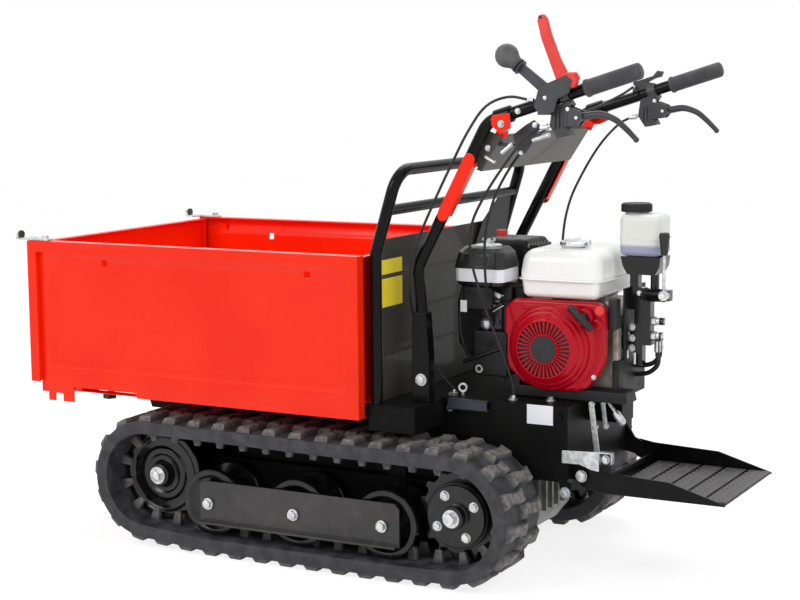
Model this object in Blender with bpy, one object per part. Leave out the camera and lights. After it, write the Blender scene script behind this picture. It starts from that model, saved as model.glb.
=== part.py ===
"""Tracked power barrow: a tipping box on rubber tracks, pushed along by a small petrol engine.

Metres, +Z up. +X points back to the operator's platform, +Y to the machine's right.
The origin is on the ground, under the middle of the whole machine.
"""
import math

import bmesh
import bpy
from mathutils import Matrix, Vector

GAP = 0.0003                    # the gap between pieces that touch

# Tracks
TRACK_Y = 0.31                  # middle of a belt
BELT_WIDTH = 0.18
BELT_THICK = 0.031
LUG_TALL = 0.013
HORN_TALL = 0.028
HORN_ROW = (0.017, 0.033)       # a horn's inner and outer side, from the belt's middle
BELT_PITCHES = 36
WHEEL_RUN = 0.112               # radius of the belt's inner face round the end wheels
IDLER = (-0.490, 0.168)         # x, z of the axles
SPROCKET = (0.322, 0.160)
ROLLER_X = (-0.320, -0.084, 0.149)
ROLLER_R = 0.0792
IDLER_HUB = 0.030               # half the length of the idler's hub
ROLLER_Z = BELT_THICK + LUG_TALL + ROLLER_R + 3 * GAP
AXLE_R = 0.0120
PIN_PLAY = 0.0005               # running clearance round an axle

# Chassis
RAIL_Y = (0.115, 0.155)
RAIL_Z = (0.292, 0.352)
BEAM_Y = (0.205, 0.240)         # track beam, inboard of the rollers
BEAM_TOP = 0.205
BED_X = (0.205, 0.525)
BED_Y = 0.200
BED_Z = (0.225, 0.396)
SHELF_TOP = 0.395               # cross beam that carries the guard and the handlebars
TIP_AXIS = (-0.640, 0.335)

# Dump box
BOX_X = (-0.836, 0.098)
BOX_Y = 0.386
BOX_TOP = 0.732
SHEET = 0.004
FLOOR_Z = (0.396, 0.400)
SILL_BOTTOM = 0.363
RIM_DEEP = 0.027
PAN_DEEP = 0.010                # the side walls' pressed panel
PAN_SLOPE = 0.020
GATE_AXIS = (-0.838, 0.386)
BAR_X = (-0.700, -0.050)        # slide bars of the side panels

# Tipping ram, in the middle of the machine
RAM_FOOT = (0.040, 0.270)
RAM_EYE = (-0.420, 0.375)

# Operator's end
BAR_R = 0.0135
GRIP_R = 0.018
HANDLE_Y = 0.266
GUARD_Y = 0.336
GUARD_X = 0.118
PLATFORM_AXIS = (0.552, 0.240)

SIDES = (("left", -1), ("right", 1))


# Scene and materials

for stale in list(bpy.data.objects):
    bpy.data.objects.remove(stale, do_unlink=True)

scene = bpy.context.scene


def look(name, colour, roughness, metallic=0.0):
    """A plain Principled material."""
    made = bpy.data.materials.new(name)
    made.use_nodes = True
    shader = made.node_tree.nodes["Principled BSDF"]
    shader.inputs["Base Color"].default_value = (*colour, 1.0)
    shader.inputs["Roughness"].default_value = roughness
    shader.inputs["Metallic"].default_value = metallic
    made.diffuse_color = (*colour, 1.0)
    return made


# Building blocks

def piece(bm):
    """Link a bmesh as a loose working object."""
    bmesh.ops.recalc_face_normals(bm, faces=bm.faces)
    if bm.calc_volume(signed=True) < 0:
        bmesh.ops.reverse_faces(bm, faces=bm.faces)
    mesh = bpy.data.meshes.new("work")
    bm.to_mesh(mesh)
    bm.free()
    obj = bpy.data.objects.new("work", mesh)
    scene.collection.objects.link(obj)
    return obj


def block(xs, ys, zs):
    """A box between two values along each axis."""
    bm = bmesh.new()
    size = [abs(b - a) for a, b in (xs, ys, zs)]
    middle = [(a + b) / 2 for a, b in (xs, ys, zs)]
    place = Matrix.Translation(middle) @ Matrix.Diagonal((*size, 1.0))
    bmesh.ops.create_cube(bm, size=1.0, matrix=place)
    return piece(bm)


def slab(outline, across, low, high):
    """A plate with the given outline in the plane square to an axis."""
    order = {"x": lambda u, v, w: (w, u, v), "y": lambda u, v, w: (u, w, v), "z": lambda u, v, w: (u, v, w)}
    bm = bmesh.new()
    corners = [bm.verts.new(order[across](u, v, low)) for u, v in outline]
    face = bm.faces.new(corners)
    grown = bmesh.ops.extrude_face_region(bm, geom=[face])
    moved = [v for v in grown["geom"] if isinstance(v, bmesh.types.BMVert)]
    bmesh.ops.translate(bm, verts=moved, vec=order[across](0, 0, high - low))
    return piece(bm)


def rod(start, end, radius, sides=12, end_radius=None):
    """A round bar, or a cone, between two points."""
    start, end = Vector(start), Vector(end)
    turn = (end - start).to_track_quat("Z", "Y").to_matrix().to_4x4()
    bm = bmesh.new()
    bmesh.ops.create_cone(bm, cap_ends=True, segments=sides, radius1=radius,
                          radius2=radius if end_radius is None else end_radius,
                          depth=(end - start).length,
                          matrix=Matrix.Translation((start + end) / 2) @ turn)
    return piece(bm)


def turned(profile, centre, axis, steps=24):
    """A turned shape: (along, radius) points spun round an axis; a ring when no radius is 0."""
    bm = bmesh.new()
    points = [bm.verts.new((r, 0.0, a)) for a, r in profile]
    lines = [bm.edges.new(pair) for pair in zip(points, points[1:])]
    if profile[0][1] > 0:
        lines.append(bm.edges.new((points[-1], points[0])))
    bmesh.ops.spin(bm, geom=points + lines, cent=(0, 0, 0), axis=(0, 0, 1),
                   angle=2 * math.pi, steps=steps, use_merge=True)
    bmesh.ops.remove_doubles(bm, verts=bm.verts, dist=1e-6)
    turn = Vector(axis).to_track_quat("Z", "Y").to_matrix().to_4x4()
    bm.transform(Matrix.Translation(centre) @ turn)
    return piece(bm)


def rounded(points, radius, step=math.radians(18)):
    """A path whose inner corners are arcs of one radius."""
    points = [Vector(p) for p in points]
    path = [points[0]]
    for before, corner, after in zip(points, points[1:], points[2:]):
        back = (before - corner).normalized()
        ahead = (after - corner).normalized()
        turn = math.pi - back.angle(ahead)
        reach = radius * math.tan(turn / 2)
        centre = corner + (back + ahead).normalized() * radius / math.cos(turn / 2)
        first = corner + back * reach - centre
        last = corner + ahead * reach - centre
        count = max(2, math.ceil(turn / step))
        path += [centre + arc_point(first, last, i / count) for i in range(count + 1)]
    return path + [points[-1]]


def arc_point(first, last, share):
    """A point part of the way round the arc from one spoke to another."""
    angle = first.angle(last)
    return (first * math.sin((1 - share) * angle) + last * math.sin(share * angle)) / math.sin(angle)


def tube(points, radius, resolution=2):
    """A curve with a round bevel and filled caps, turned into a mesh."""
    curve = bpy.data.curves.new("work", "CURVE")
    curve.dimensions = "3D"
    curve.bevel_depth = radius
    curve.bevel_resolution = resolution
    curve.use_fill_caps = True
    curve.resolution_u = 1
    spline = curve.splines.new("POLY")
    spline.points.add(len(points) - 1)
    for point, where in zip(spline.points, points):
        point.co = (*where, 1.0)
    drawn = bpy.data.objects.new("work", curve)
    scene.collection.objects.link(drawn)
    depsgraph = bpy.context.evaluated_depsgraph_get()
    bm = bmesh.new()
    bm.from_mesh(bpy.data.meshes.new_from_object(drawn.evaluated_get(depsgraph)))
    bmesh.ops.remove_doubles(bm, verts=bm.verts, dist=1e-6)
    bpy.data.objects.remove(drawn, do_unlink=True)
    return piece(bm)


def smooth_line(points, spacing):
    """Points at an even spacing on a smooth curve through the given ones."""
    points = [Vector(p) for p in points]
    ends = [2 * points[0] - points[1]] + points + [2 * points[-1] - points[-2]]
    line = []
    for a, b, c, d in zip(ends, ends[1:], ends[2:], ends[3:]):
        count = max(1, round((c - b).length / spacing))
        for i in range(count):
            t = i / count
            line.append(0.5 * (2 * b + (c - a) * t + (2 * a - 5 * b + 4 * c - d) * t * t
                               + (3 * b - a - 3 * c + d) * t ** 3))
    return line + [points[-1]]


def bolt_head(centre, axis, across, tall):
    """A six-sided head standing on a face."""
    centre, axis = Vector(centre), Vector(axis)
    return rod(centre - axis * 0.001, centre + axis * tall, across / 2, sides=6)


pivots = {"root": None}


def pivot(name, where, carrier="root"):
    """An empty on a joint's axis; the pieces of that body are its children."""
    empty = bpy.data.objects.new(name + "_axis", None)
    scene.collection.objects.link(empty)
    empty.location = where
    if pivots[carrier]:
        empty.parent = pivots[carrier]
        empty.location = Vector(where) - pivots[carrier].matrix_world.translation
    pivots[name] = empty
    bpy.context.view_layer.update()
    return empty


def fuse(name, finish, adds, cuts=(), body="root"):
    """Join working objects into one named solid on a body, less its cuts."""
    base = adds[0]
    tools = [(tool, "UNION") for tool in adds[1:]] + [(tool, "DIFFERENCE") for tool in cuts]
    for tool, operation in tools:
        tool.hide_render = True
        tool.display_type = "WIRE"
        joined = base.modifiers.new(operation, "BOOLEAN")
        joined.operation = operation
        joined.solver = "EXACT"
        joined.object = tool
    depsgraph = bpy.context.evaluated_depsgraph_get()
    mesh = bpy.data.meshes.new_from_object(base.evaluated_get(depsgraph))
    for work in [base] + [tool for tool, _ in tools]:
        bpy.data.objects.remove(work, do_unlink=True)
    holder = pivots[body]
    if holder:
        mesh.transform(Matrix.Translation(-holder.matrix_world.translation))
    mesh.shade_smooth()
    mesh.set_sharp_from_angle(angle=math.radians(35))
    mesh.name = name
    mesh.materials.clear()
    mesh.materials.append(finish)
    obj = bpy.data.objects.new(name, mesh)
    obj.parent = holder
    scene.collection.objects.link(obj)
    return obj


RED = look("red_paint", (0.83, 0.03, 0.015), 0.25)
BLACK = look("black_paint", (0.012, 0.012, 0.013), 0.35)
ZINC = look("zinc_plate", (0.55, 0.56, 0.58), 0.35, 0.9)
RUBBER = look("track_rubber", (0.045, 0.045, 0.05), 0.8)
GRIP = look("grip_rubber", (0.06, 0.06, 0.065), 0.7)
PLASTIC = look("black_plastic", (0.02, 0.02, 0.022), 0.5)
CRIMSON = look("engine_cover_paint", (0.50, 0.006, 0.02), 0.25)
ALLOY = look("cast_alloy", (0.30, 0.30, 0.30), 0.5, 0.7)
WHITE = look("white_tank_paint", (0.80, 0.80, 0.75), 0.3)
BOTTLE = look("clear_bottle", (0.75, 0.77, 0.74), 0.35)
HOSE = look("hose_rubber", (0.015, 0.015, 0.015), 0.5)


# Track belts: an endless rubber band with staggered lugs outside and two rows of horns inside

def tangent_angle(centre, radius, point, side):
    """Where on a circle the line to an outside point touches it."""
    dx, dz = point[0] - centre[0], point[1] - centre[1]
    return math.atan2(dz, dx) + side * math.acos(radius / math.hypot(dx, dz))


def belt_line(offset):
    """The belt's run as (x, z) points, so far outside its inner face; it starts over the idler."""
    radius = WHEEL_RUN + offset
    ground = BELT_THICK + LUG_TALL + GAP - offset
    top = math.atan2(SPROCKET[0] - IDLER[0], IDLER[1] - SPROCKET[1])
    front_low = (ROLLER_X[0], ground)
    rear_low = (ROLLER_X[-1], ground)
    idler_end = tangent_angle(IDLER, radius, front_low, -1) % (2 * math.pi)
    sprocket_start = tangent_angle(SPROCKET, radius, rear_low, 1) % (2 * math.pi)
    line = []
    arcs = ((IDLER, top, idler_end), (SPROCKET, sprocket_start, top + 2 * math.pi))
    for centre, first, last in arcs:
        count = math.ceil((last - first) / math.radians(14))
        for i in range(count + 1):
            angle = first + (last - first) * i / count
            reach = radius / math.cos((last - first) / count / 2) if 0 < i < count else radius
            line.append((centre[0] + reach * math.cos(angle), centre[1] + reach * math.sin(angle)))
        if centre is IDLER:
            line += [front_low, rear_low]
    return line


def on_belt(offset, distance):
    """The point and the outward normal at a distance along the belt's run."""
    line = belt_line(offset)
    line.append(line[0])
    for (x0, z0), (x1, z1) in zip(line, line[1:]):
        span = math.hypot(x1 - x0, z1 - z0)
        if distance <= span:
            share = distance / span
            tangent = Vector(((x1 - x0) / span, 0.0, (z1 - z0) / span))
            outward = Vector((tangent.z, 0.0, -tangent.x))
            return Vector((x0 + (x1 - x0) * share, 0.0, z0 + (z1 - z0) * share)), tangent, outward
        distance -= span
    return on_belt(offset, 0.0)


def belt_length(offset):
    line = belt_line(offset)
    return sum(math.dist(a, b) for a, b in zip(line, line[1:] + line[:1]))


def belt_blocks(bm, offset, count, shift, y_range, foot, crest, tall, inward=False):
    """Tapered blocks at every pitch, standing on the belt's run and sunk a little into it."""
    length = belt_length(offset)
    sunk = 0.004
    for i in range(count):
        point, tangent, outward = on_belt(offset, ((i + shift) % count) * length / count)
        rise = -outward if inward else outward
        corners = []
        for level, half in ((-sunk, foot), (tall, crest)):
            inset = 0.0 if level < 0 else (0.004 if inward else 0.010)
            ys = (y_range[0] + inset, y_range[1] - inset)
            for along_belt, y in ((-half, ys[0]), (half, ys[0]), (half, ys[1]), (-half, ys[1])):
                spot = point + tangent * along_belt + rise * level
                corners.append(bm.verts.new((spot.x, y, spot.z)))
        low, high = corners[:4], corners[4:]
        bm.faces.new(low)
        bm.faces.new(high)
        for j in range(4):
            bm.faces.new((low[j], low[(j + 1) % 4], high[(j + 1) % 4], high[j]))


def track_belt(side_name, side):
    middle = side * TRACK_Y
    half = BELT_WIDTH / 2
    low, high = middle - half, middle + half
    outer = slab(belt_line(BELT_THICK), "y", low, high)
    inner = slab(belt_line(0.0), "y", low - 0.01, high + 0.01)
    ragged = 0.003
    lugs = []
    for shift, reach in ((0.0, (low + ragged, middle + 0.014)), (0.5, (middle - 0.014, high - ragged))):
        row = bmesh.new()
        belt_blocks(row, BELT_THICK, BELT_PITCHES, shift, reach, 0.0175, 0.012, LUG_TALL)
        lugs.append(piece(row))
    horns = bmesh.new()
    for row in (-1, 1):
        near, far = middle + row * HORN_ROW[0], middle + row * HORN_ROW[1]
        belt_blocks(horns, 0.0, BELT_PITCHES, 0.25, (min(near, far), max(near, far)), 0.013, 0.007,
                    HORN_TALL, inward=True)
    carcass = fuse("work", RUBBER, [outer], [inner])
    fuse("track_belt_" + side_name, RUBBER, [carcass, *lugs, piece(horns)])


# Wheels of a track

def sprocket(side_name, side):
    """Drive wheel: a toothed disc between the rows of horns, on a drum with a bolted flange and a tube boss."""
    body = "sprocket_" + side_name
    pivot(body, (SPROCKET[0], side * TRACK_Y, SPROCKET[1]))
    out = Vector((0, side, 0))
    centre = Vector((SPROCKET[0], 0, SPROCKET[1]))
    teeth = 15
    tooth_r, root_r = 0.106, 0.094
    rim = []
    for i in range(teeth):
        for part, r in ((-0.28, root_r), (-0.14, tooth_r), (0.14, tooth_r), (0.28, root_r)):
            angle = (i + part) * 2 * math.pi / teeth
            rim.append((SPROCKET[0] + r * math.cos(angle), SPROCKET[1] + r * math.sin(angle)))
    disc = slab(rim, "y", side * (TRACK_Y - 0.013), side * (TRACK_Y + 0.013))
    hub = rod(centre + out * 0.262, centre + out * 0.320, 0.045, sides=14)
    shaft = rod(centre + out * 0.155, centre + out * 0.270, 0.0145)
    drum = rod(centre + out * 0.310, centre + out * 0.343, 0.076, sides=22)
    flange = rod(centre + out * 0.342, centre + out * 0.352, 0.071, sides=22)
    boss = rod(centre + out * 0.350, centre + out * 0.374, 0.027, sides=16)
    washer = rod(centre + out * 0.373, centre + out * 0.377, 0.020, sides=16)
    parts = [disc, hub, shaft, drum, flange, boss, washer, bolt_head(centre + out * 0.377, out, 0.028, 0.012)]
    bolt_circle = 0.052
    for i in range(4):
        angle = math.radians(30 + 90 * i)
        spoke = Vector((math.cos(angle), 0, math.sin(angle))) * bolt_circle
        parts.append(bolt_head(centre + spoke + out * 0.352, out, 0.019, 0.007))
    fuse(body, BLACK, parts, body=body)


def idler(side_name, side):
    """Front wheel: a narrow rim that runs between the rows of horns, a ribbed web and a long hub."""
    body = "idler_" + side_name
    pivot(body, (IDLER[0], side * TRACK_Y, IDLER[1]))
    rim_r, bore = 0.1100, AXLE_R + PIN_PLAY
    outer = [(0.0135, rim_r), (0.0135, 0.097), (0.0050, 0.088), (0.0050, 0.068), (0.0110, 0.062),
             (0.0110, 0.050), (0.0060, 0.044), (0.0060, 0.034), (IDLER_HUB - 0.003, 0.028),
             (IDLER_HUB, 0.025), (IDLER_HUB, bore)]
    profile = [(-along, r) for along, r in reversed(outer)] + outer
    wheel = turned(profile, (IDLER[0], side * TRACK_Y, IDLER[1]), (0, side, 0), steps=22)
    fuse(body, BLACK, [wheel], body=body)


def roller(side_name, side, index):
    """Track roller: two dished discs on one tube, turning on a pin."""
    body = f"roller_{side_name}_{index + 1}"
    x = ROLLER_X[index]
    pivot(body, (x, side * TRACK_Y, ROLLER_Z))
    bore, tube_r = 0.0095, 0.026
    outer = [(0.036, tube_r), (0.036, ROLLER_R), (0.052, ROLLER_R), (0.054, 0.066), (0.044, 0.058),
             (0.044, 0.026), (0.054, 0.022), (0.054, bore)]
    profile = [(-along, r) for along, r in reversed(outer)] + outer
    wheel = turned(profile, (x, side * TRACK_Y, ROLLER_Z), (0, side, 0), steps=14)
    fuse(body, BLACK, [wheel], body=body)


def track_frame(side_name, side):
    """Side beam with the roller pins and the idler axle."""
    low, high = (side * y for y in BEAM_Y)
    nose = IDLER[0] - 0.035
    outline = [(nose, 0.140), (-0.44, 0.110), (0.235, 0.110), (0.235, BEAM_TOP), (-0.44, BEAM_TOP), (nose, 0.196)]
    parts = [slab(outline, "y", low, high)]
    hub_face = side * (TRACK_Y + IDLER_HUB + GAP)
    parts.append(rod((IDLER[0], low, IDLER[1]), (IDLER[0], hub_face + side * 0.004, IDLER[1]), AXLE_R, 16))
    washer_end = hub_face + side * 0.005
    parts.append(rod((IDLER[0], hub_face, IDLER[1]), (IDLER[0], washer_end, IDLER[1]), 0.021, 16))
    parts.append(bolt_head((IDLER[0], washer_end, IDLER[1]), (0, side, 0), 0.028, 0.011))
    for x in ROLLER_X:
        parts.append(rod((x, low, ROLLER_Z), (x, side * (0.3700 - GAP), ROLLER_Z), 0.0090, 12))
    hollow = block((-0.465, 0.230), (low - side * 0.005, high - side * 0.005), (0.115, BEAM_TOP - 0.005))
    fuse("track_frame_" + side_name, BLACK, parts, [hollow])


def roller_plate(side_name, side):
    """Outer plate that ties the roller pins together, with a folded lower edge and three bolts."""
    low, high = side * 0.370, side * 0.375
    x0, x1, z0, z1, cut = -0.345, 0.192, 0.078, 0.178, 0.012
    outline = [(x0, z0), (x1, z0), (x1, z1 - cut), (x1 - cut, z1), (x0 + cut, z1), (x0, z1 - cut)]
    parts = [slab(outline, "y", low, high)]
    parts.append(block((x0 + 0.004, x1 - 0.004), (low, side * 0.391), (z0 - 0.001, z0 + 0.004)))
    for x in ROLLER_X:
        parts.append(rod((x, high - side * 0.001, ROLLER_Z), (x, high + side * 0.003, ROLLER_Z), 0.015, 14))
        parts.append(bolt_head((x, high + side * 0.002, ROLLER_Z), (0, side, 0), 0.022, 0.010))
    fuse("roller_plate_" + side_name, BLACK, parts)


# Chassis

def engine_bed():
    """Box of plate under the engine, open below, with the ears of the step's hinge behind it."""
    wall = 0.004
    inside = block((BED_X[0] + wall, BED_X[1] - wall), (-BED_Y + wall, BED_Y - wall),
                   (BED_Z[0] - 0.01, BED_Z[1] - wall))
    parts = [fuse("work", BLACK, [block(BED_X, (-BED_Y, BED_Y), BED_Z)], [inside])]
    ear_x, ear_z = PLATFORM_AXIS
    for side in (-1, 1):
        ear = [(BED_X[1] - 0.003, 0.228), (ear_x, 0.222), (ear_x + 0.014, 0.228), (ear_x + 0.018, ear_z),
               (ear_x + 0.012, 0.254), (ear_x - 0.006, 0.262), (BED_X[1] - 0.003, 0.300)]
        parts.append(slab(ear, "y", side * 0.163, side * 0.170))
        parts.append(rod((ear_x, side * 0.165, ear_z), (ear_x, side * 0.1835, ear_z), 0.0075, 12))
        parts.append(bolt_head((ear_x, side * 0.1800, ear_z), (0, side, 0), 0.024, 0.009))
        for x in (0.236, 0.505):
            parts.append(bolt_head((x, side * (BED_Y - 0.001), 0.372), (0, side, 0), 0.018, 0.007))
    parts.append(block((BED_X[1] - 0.002, 0.600), (-0.060, 0.010), (0.342, 0.390)))
    fuse("engine_bed", BLACK, parts)


def chassis_frame():
    """Welded frame: two rails, cross members and the beam for guard and handlebars."""
    parts = []
    axis_x, axis_z = TIP_AXIS
    nose_r = RAIL_Z[1] - axis_z
    nose = [(axis_x + nose_r * math.cos(a), axis_z + nose_r * math.sin(a))
            for a in (math.radians(90 + 15 * i) for i in range(7))]
    rail = nose + [(axis_x, RAIL_Z[0]), (0.215, RAIL_Z[0]), (0.215, RAIL_Z[1])]
    for side in (-1, 1):
        parts.append(slab(rail, "y", side * RAIL_Y[0], side * RAIL_Y[1]))
    for x0, x1 in ((-0.430, -0.370), (0.085, 0.135)):
        parts.append(block((x0, x1), (-0.235, 0.235), (BEAM_TOP + GAP, 0.255)))
        for side in (-1, 1):
            parts.append(block((x0 + 0.002, x1 - 0.002), (side * 0.117, side * 0.153), (0.250, 0.300)))
    parts.append(rod((axis_x, -0.172, axis_z), (axis_x, 0.172, axis_z), 0.0090, 12))
    for side in (-1, 1):
        parts.append(bolt_head((axis_x, side * 0.170, axis_z), (0, side, 0), 0.026, 0.006))
    parts.append(block((0.104, 0.222), (-0.352, 0.352), (0.3353, SHELF_TOP)))
    foot_x, foot_z = RAM_FOOT
    lug = [(foot_x - 0.018, foot_z - 0.012), (foot_x + 0.055, 0.206), (foot_x + 0.055, 0.252),
           (foot_x + 0.008, foot_z + 0.020), (foot_x - 0.012, foot_z + 0.016)]
    for side in (-1, 1):
        parts.append(slab(lug, "y", side * 0.0135, side * 0.0195))
    parts.append(rod((foot_x, -0.023, foot_z), (foot_x, 0.023, foot_z), 0.0080, 12))
    hollows = [block((0.108, 0.218), (-0.348, 0.348), (0.330, SHELF_TOP - 0.004))]
    hollows.append(block((BED_X[0] - GAP, 0.230), (-BED_Y - GAP, BED_Y + GAP), (BED_Z[0] - 0.01, BED_Z[1] + 0.01)))
    for side in (-1, 1):
        hollows.append(block((-0.600, 0.100), (side * 0.110, side * 0.151), (RAIL_Z[0] + 0.005, RAIL_Z[1] - 0.005)))
    fuse("chassis_frame", BLACK, parts, hollows)


def gearbox():
    """Transmission under the engine bed, with an axle tube to each sprocket."""
    x, z = SPROCKET
    profile = [(0.240, 0.110), (0.270, 0.068), (0.375, 0.068), (0.408, 0.110), (0.408, 0.285), (0.240, 0.285)]
    parts = [slab(profile, "y", -0.090, 0.090)]
    parts.append(block((0.262, 0.386), (-0.060, 0.060), (0.280, BED_Z[1] - 0.004 - GAP)))
    fins = 5
    for i in range(fins):
        y = -0.072 + 0.144 * i / (fins - 1)
        parts.append(block((0.228, 0.420), (y - 0.003, y + 0.003), (0.120, 0.270)))
    holes = []
    for side in (-1, 1):
        parts.append(rod((x, side * 0.080, z), (x, side * 0.200, z), 0.034, 20))
        holes.append(rod((x, side * 0.150, z), (x, side * 0.210, z), 0.0145 + PIN_PLAY, 16))
    fuse("gearbox", ALLOY, parts, holes)


# Dump box

def box_floor():
    """Floor sheet with its under-frame, guides for the slide bars, hinge lugs and the rear wall."""
    inner_y = 0.3672
    parts = [block((-0.806, 0.0930), (-inner_y, inner_y), FLOOR_Z)]
    rear_y = 0.3540
    parts.append(block((0.0780, 0.0810), (-rear_y, rear_y), (0.397, 0.728)))
    parts.append(block((0.0785, 0.0935), (-rear_y, rear_y), (0.724, 0.728)))
    for side in (-1, 1):
        parts.append(block((-0.625, 0.060), (side * 0.1150, side * 0.1550), (RAIL_Z[1] + 0.0005, 0.397)))
        lug_x, lug_z = TIP_AXIS
        lug = [(lug_x + 0.018 * math.cos(a), lug_z + 0.018 * math.sin(a))
               for a in (math.radians(180 + 30 * i) for i in range(7))]
        lug += [(-0.600, 0.360), (-0.600, 0.398), (-0.665, 0.398)]
        parts.append(slab(lug, "y", side * 0.1565, side * 0.1625))
        parts.append(block((-0.665, -0.600), (side * 0.1500, side * 0.1620), (0.380, 0.398)))
        eye_x, eye_z = RAM_EYE
        ram_lug = [(eye_x - 0.014, eye_z - 0.012), (eye_x + 0.014, eye_z - 0.012),
                   (eye_x + 0.024, 0.398), (eye_x - 0.024, 0.398)]
        parts.append(slab(ram_lug, "y", side * 0.0150, side * 0.0200))
        parts.append(rod((eye_x, side * 0.0195, eye_z), (eye_x, side * 0.0260, eye_z), 0.0090, 10))
    holes = []
    for side in (-1, 1):
        holes.append(block((-0.630, 0.065), (side * 0.1190, side * 0.1510), (0.3565, 0.3935)))
        holes.append(rod((TIP_AXIS[0], side * 0.140, TIP_AXIS[1]), (TIP_AXIS[0], side * 0.1690, TIP_AXIS[1]),
                         0.0095, 16))
        for x in BAR_X:
            parts.append(block((x - 0.021, x + 0.021), (side * 0.1650, side * 0.3450), (0.3595, 0.397)))
            holes.append(block((x - 0.0155, x + 0.0155), (side * 0.1600, side * 0.3500), (0.3655, 0.3865)))
        holes.append(rod((BAR_X[0], side * 0.25, 0.350), (BAR_X[0], side * 0.25, 0.370), 0.0045, 10))
    gate_x, gate_z = GATE_AXIS
    for side in (-1, 1):
        for y0, y1 in ((0.165, 0.195), (0.265, 0.295)):
            knuckle = [(gate_x - 0.008, gate_z - 0.006), (gate_x + 0.006, gate_z - 0.008),
                       (-0.800, FLOOR_Z[0]), (-0.800, FLOOR_Z[1] - 0.001), (gate_x + 0.004, gate_z + 0.008),
                       (gate_x - 0.006, gate_z + 0.006)]
            parts.append(slab(knuckle, "y", side * y0, side * y1))
        parts.append(rod((gate_x, side * 0.170, gate_z), (gate_x, side * 0.290, gate_z), 0.0035, 10))
    fuse("box_floor", RED, parts, holes, body="dump_box")


def side_panel(side_name, side):
    """Side wall of folded sheet, on two bars that slide out sideways from under the floor."""
    body = "side_panel_" + side_name
    pivot(body, ((BOX_X[0] + BOX_X[1]) / 2, side * BOX_Y, BOX_TOP), "dump_box")
    out, face = side * BOX_Y, side * (BOX_Y - SHEET)
    pan, back = side * (BOX_Y - PAN_DEEP), side * (BOX_Y - PAN_DEEP - SHEET)
    lip, sill_lip = side * (BOX_Y - 0.028), side * (BOX_Y - 0.034)
    rim_z = BOX_TOP - RIM_DEEP
    sill_z = 0.420
    wall = [(out, BOX_TOP), (out, rim_z), (pan, rim_z - PAN_SLOPE), (pan, sill_z + PAN_SLOPE), (out, sill_z),
            (out, SILL_BOTTOM), (sill_lip, SILL_BOTTOM), (sill_lip, SILL_BOTTOM + SHEET),
            (face, SILL_BOTTOM + SHEET), (face, sill_z - 0.002), (back, sill_z + PAN_SLOPE - 0.001),
            (back, rim_z - PAN_SLOPE + 0.001), (face, rim_z + 0.002), (face, BOX_TOP - SHEET), (lip, BOX_TOP - SHEET),
            (lip, BOX_TOP)]
    slot_x, flange_x = -0.783, 0.066
    parts = [slab(wall, "x", slot_x, BOX_X[1])]
    for end, way in ((slot_x + 0.0005, 1), (flange_x + 0.0015, -1)):
        slope = [(end, out - side * 0.0005), (end + way * PAN_SLOPE * 1.4, pan - side * 0.0005),
                 (end + way * PAN_SLOPE * 1.4, back + side * 0.0005), (end, back + side * 0.0005)]
        parts.append(slab(slope, "z", sill_z - 0.010, rim_z + 0.010))
    rim = [(out, BOX_TOP), (out, rim_z), (face, rim_z), (face, BOX_TOP - SHEET), (lip, BOX_TOP - SHEET),
           (lip, BOX_TOP)]
    parts.append(slab(rim, "x", BOX_X[0], slot_x + 0.002))
    strip_x = -0.810
    parts.append(block((BOX_X[0], strip_x), (out, face), (0.382, rim_z + 0.001)))
    parts.append(block((BOX_X[0], BOX_X[0] + SHEET), (out - side * 0.001, lip), (0.382, BOX_TOP - 0.001)))
    recess = side * 0.3720
    parts.append(block((strip_x - SHEET, slot_x + 0.001), (recess, recess - side * SHEET), (0.356, rim_z + 0.003)))
    for x in (strip_x - SHEET, slot_x - 0.003):
        parts.append(block((x, x + SHEET), (recess - side * 0.001, out - side * 0.001), (0.384, rim_z + 0.002)))
    parts.append(block((strip_x - SHEET, slot_x), (recess - side * 0.001, side * 0.3820), (rim_z, rim_z + SHEET)))
    parts.append(block((flange_x, BOX_X[1] - 0.001), (out, pan - side * 0.001), (sill_z - 0.01, rim_z + 0.01)))
    parts.append(block((BOX_X[1] - SHEET, BOX_X[1]), (out - side * 0.001, lip), (SILL_BOTTOM + 0.001,
                                                                                  BOX_TOP - 0.001)))
    for x in BAR_X:
        parts.append(block((x - 0.015, x + 0.015), (side * 0.1720, face), (0.3660, 0.3860)))
    step_x = -0.515
    cuts = [block((slot_x - 0.010, step_x), (side * 0.3815, side * 0.395), (0.350, 0.3755)),
            block((slot_x - 0.010, step_x), (side * 0.345, side * 0.3820), (0.350, 0.3655))]
    for x in (-0.606, -0.037):
        cuts.append(block((x - 0.008, x + 0.008), (side * 0.365, side * 0.395), (0.676, 0.692)))
    panel = fuse("work", RED, parts, cuts)
    hook = [(-0.783, 0.338), (-0.705, 0.338), (-0.705, 0.390), (-0.783, 0.390)]
    plate = slab(hook, "y", out - side * 0.0005, face + side * 0.0005)
    slot = block((-0.762, -0.738), (side * 0.370, side * 0.395), (0.330, 0.3575))
    fuse(body, RED, [panel, plate], [slot], body=body)


def gate_latch(side_name, side):
    """Zinc-plated strap that turns flat over the corner and holds the gate shut."""
    body = "gate_latch_" + side_name
    pin = (-0.790, side * 0.371)
    pivot(body, (*pin, BOX_TOP), "side_panel_" + side_name)
    z0, z1 = BOX_TOP + 0.0005, BOX_TOP + 0.0045
    strap = [(-0.776, side * 0.361), (-0.776, side * 0.381), (-0.866, side * 0.381), (-0.880, side * 0.374),
             (-0.880, side * 0.352), (-0.866, side * 0.335), (-0.844, side * 0.335), (-0.826, side * 0.361)]
    parts = [slab(strap, "z", z0, z1)]
    parts.append(bolt_head((*pin, z1), (0, 0, 1), 0.017, 0.007))
    thumb = [(-0.880, z0 + 0.001), (-0.872, z0 + 0.001), (-0.874, z1 + 0.013), (-0.880, z1 + 0.013)]
    parts.append(slab(thumb, "y", side * 0.353, side * 0.373))
    fuse(body, ZINC, parts, body=body)


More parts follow.
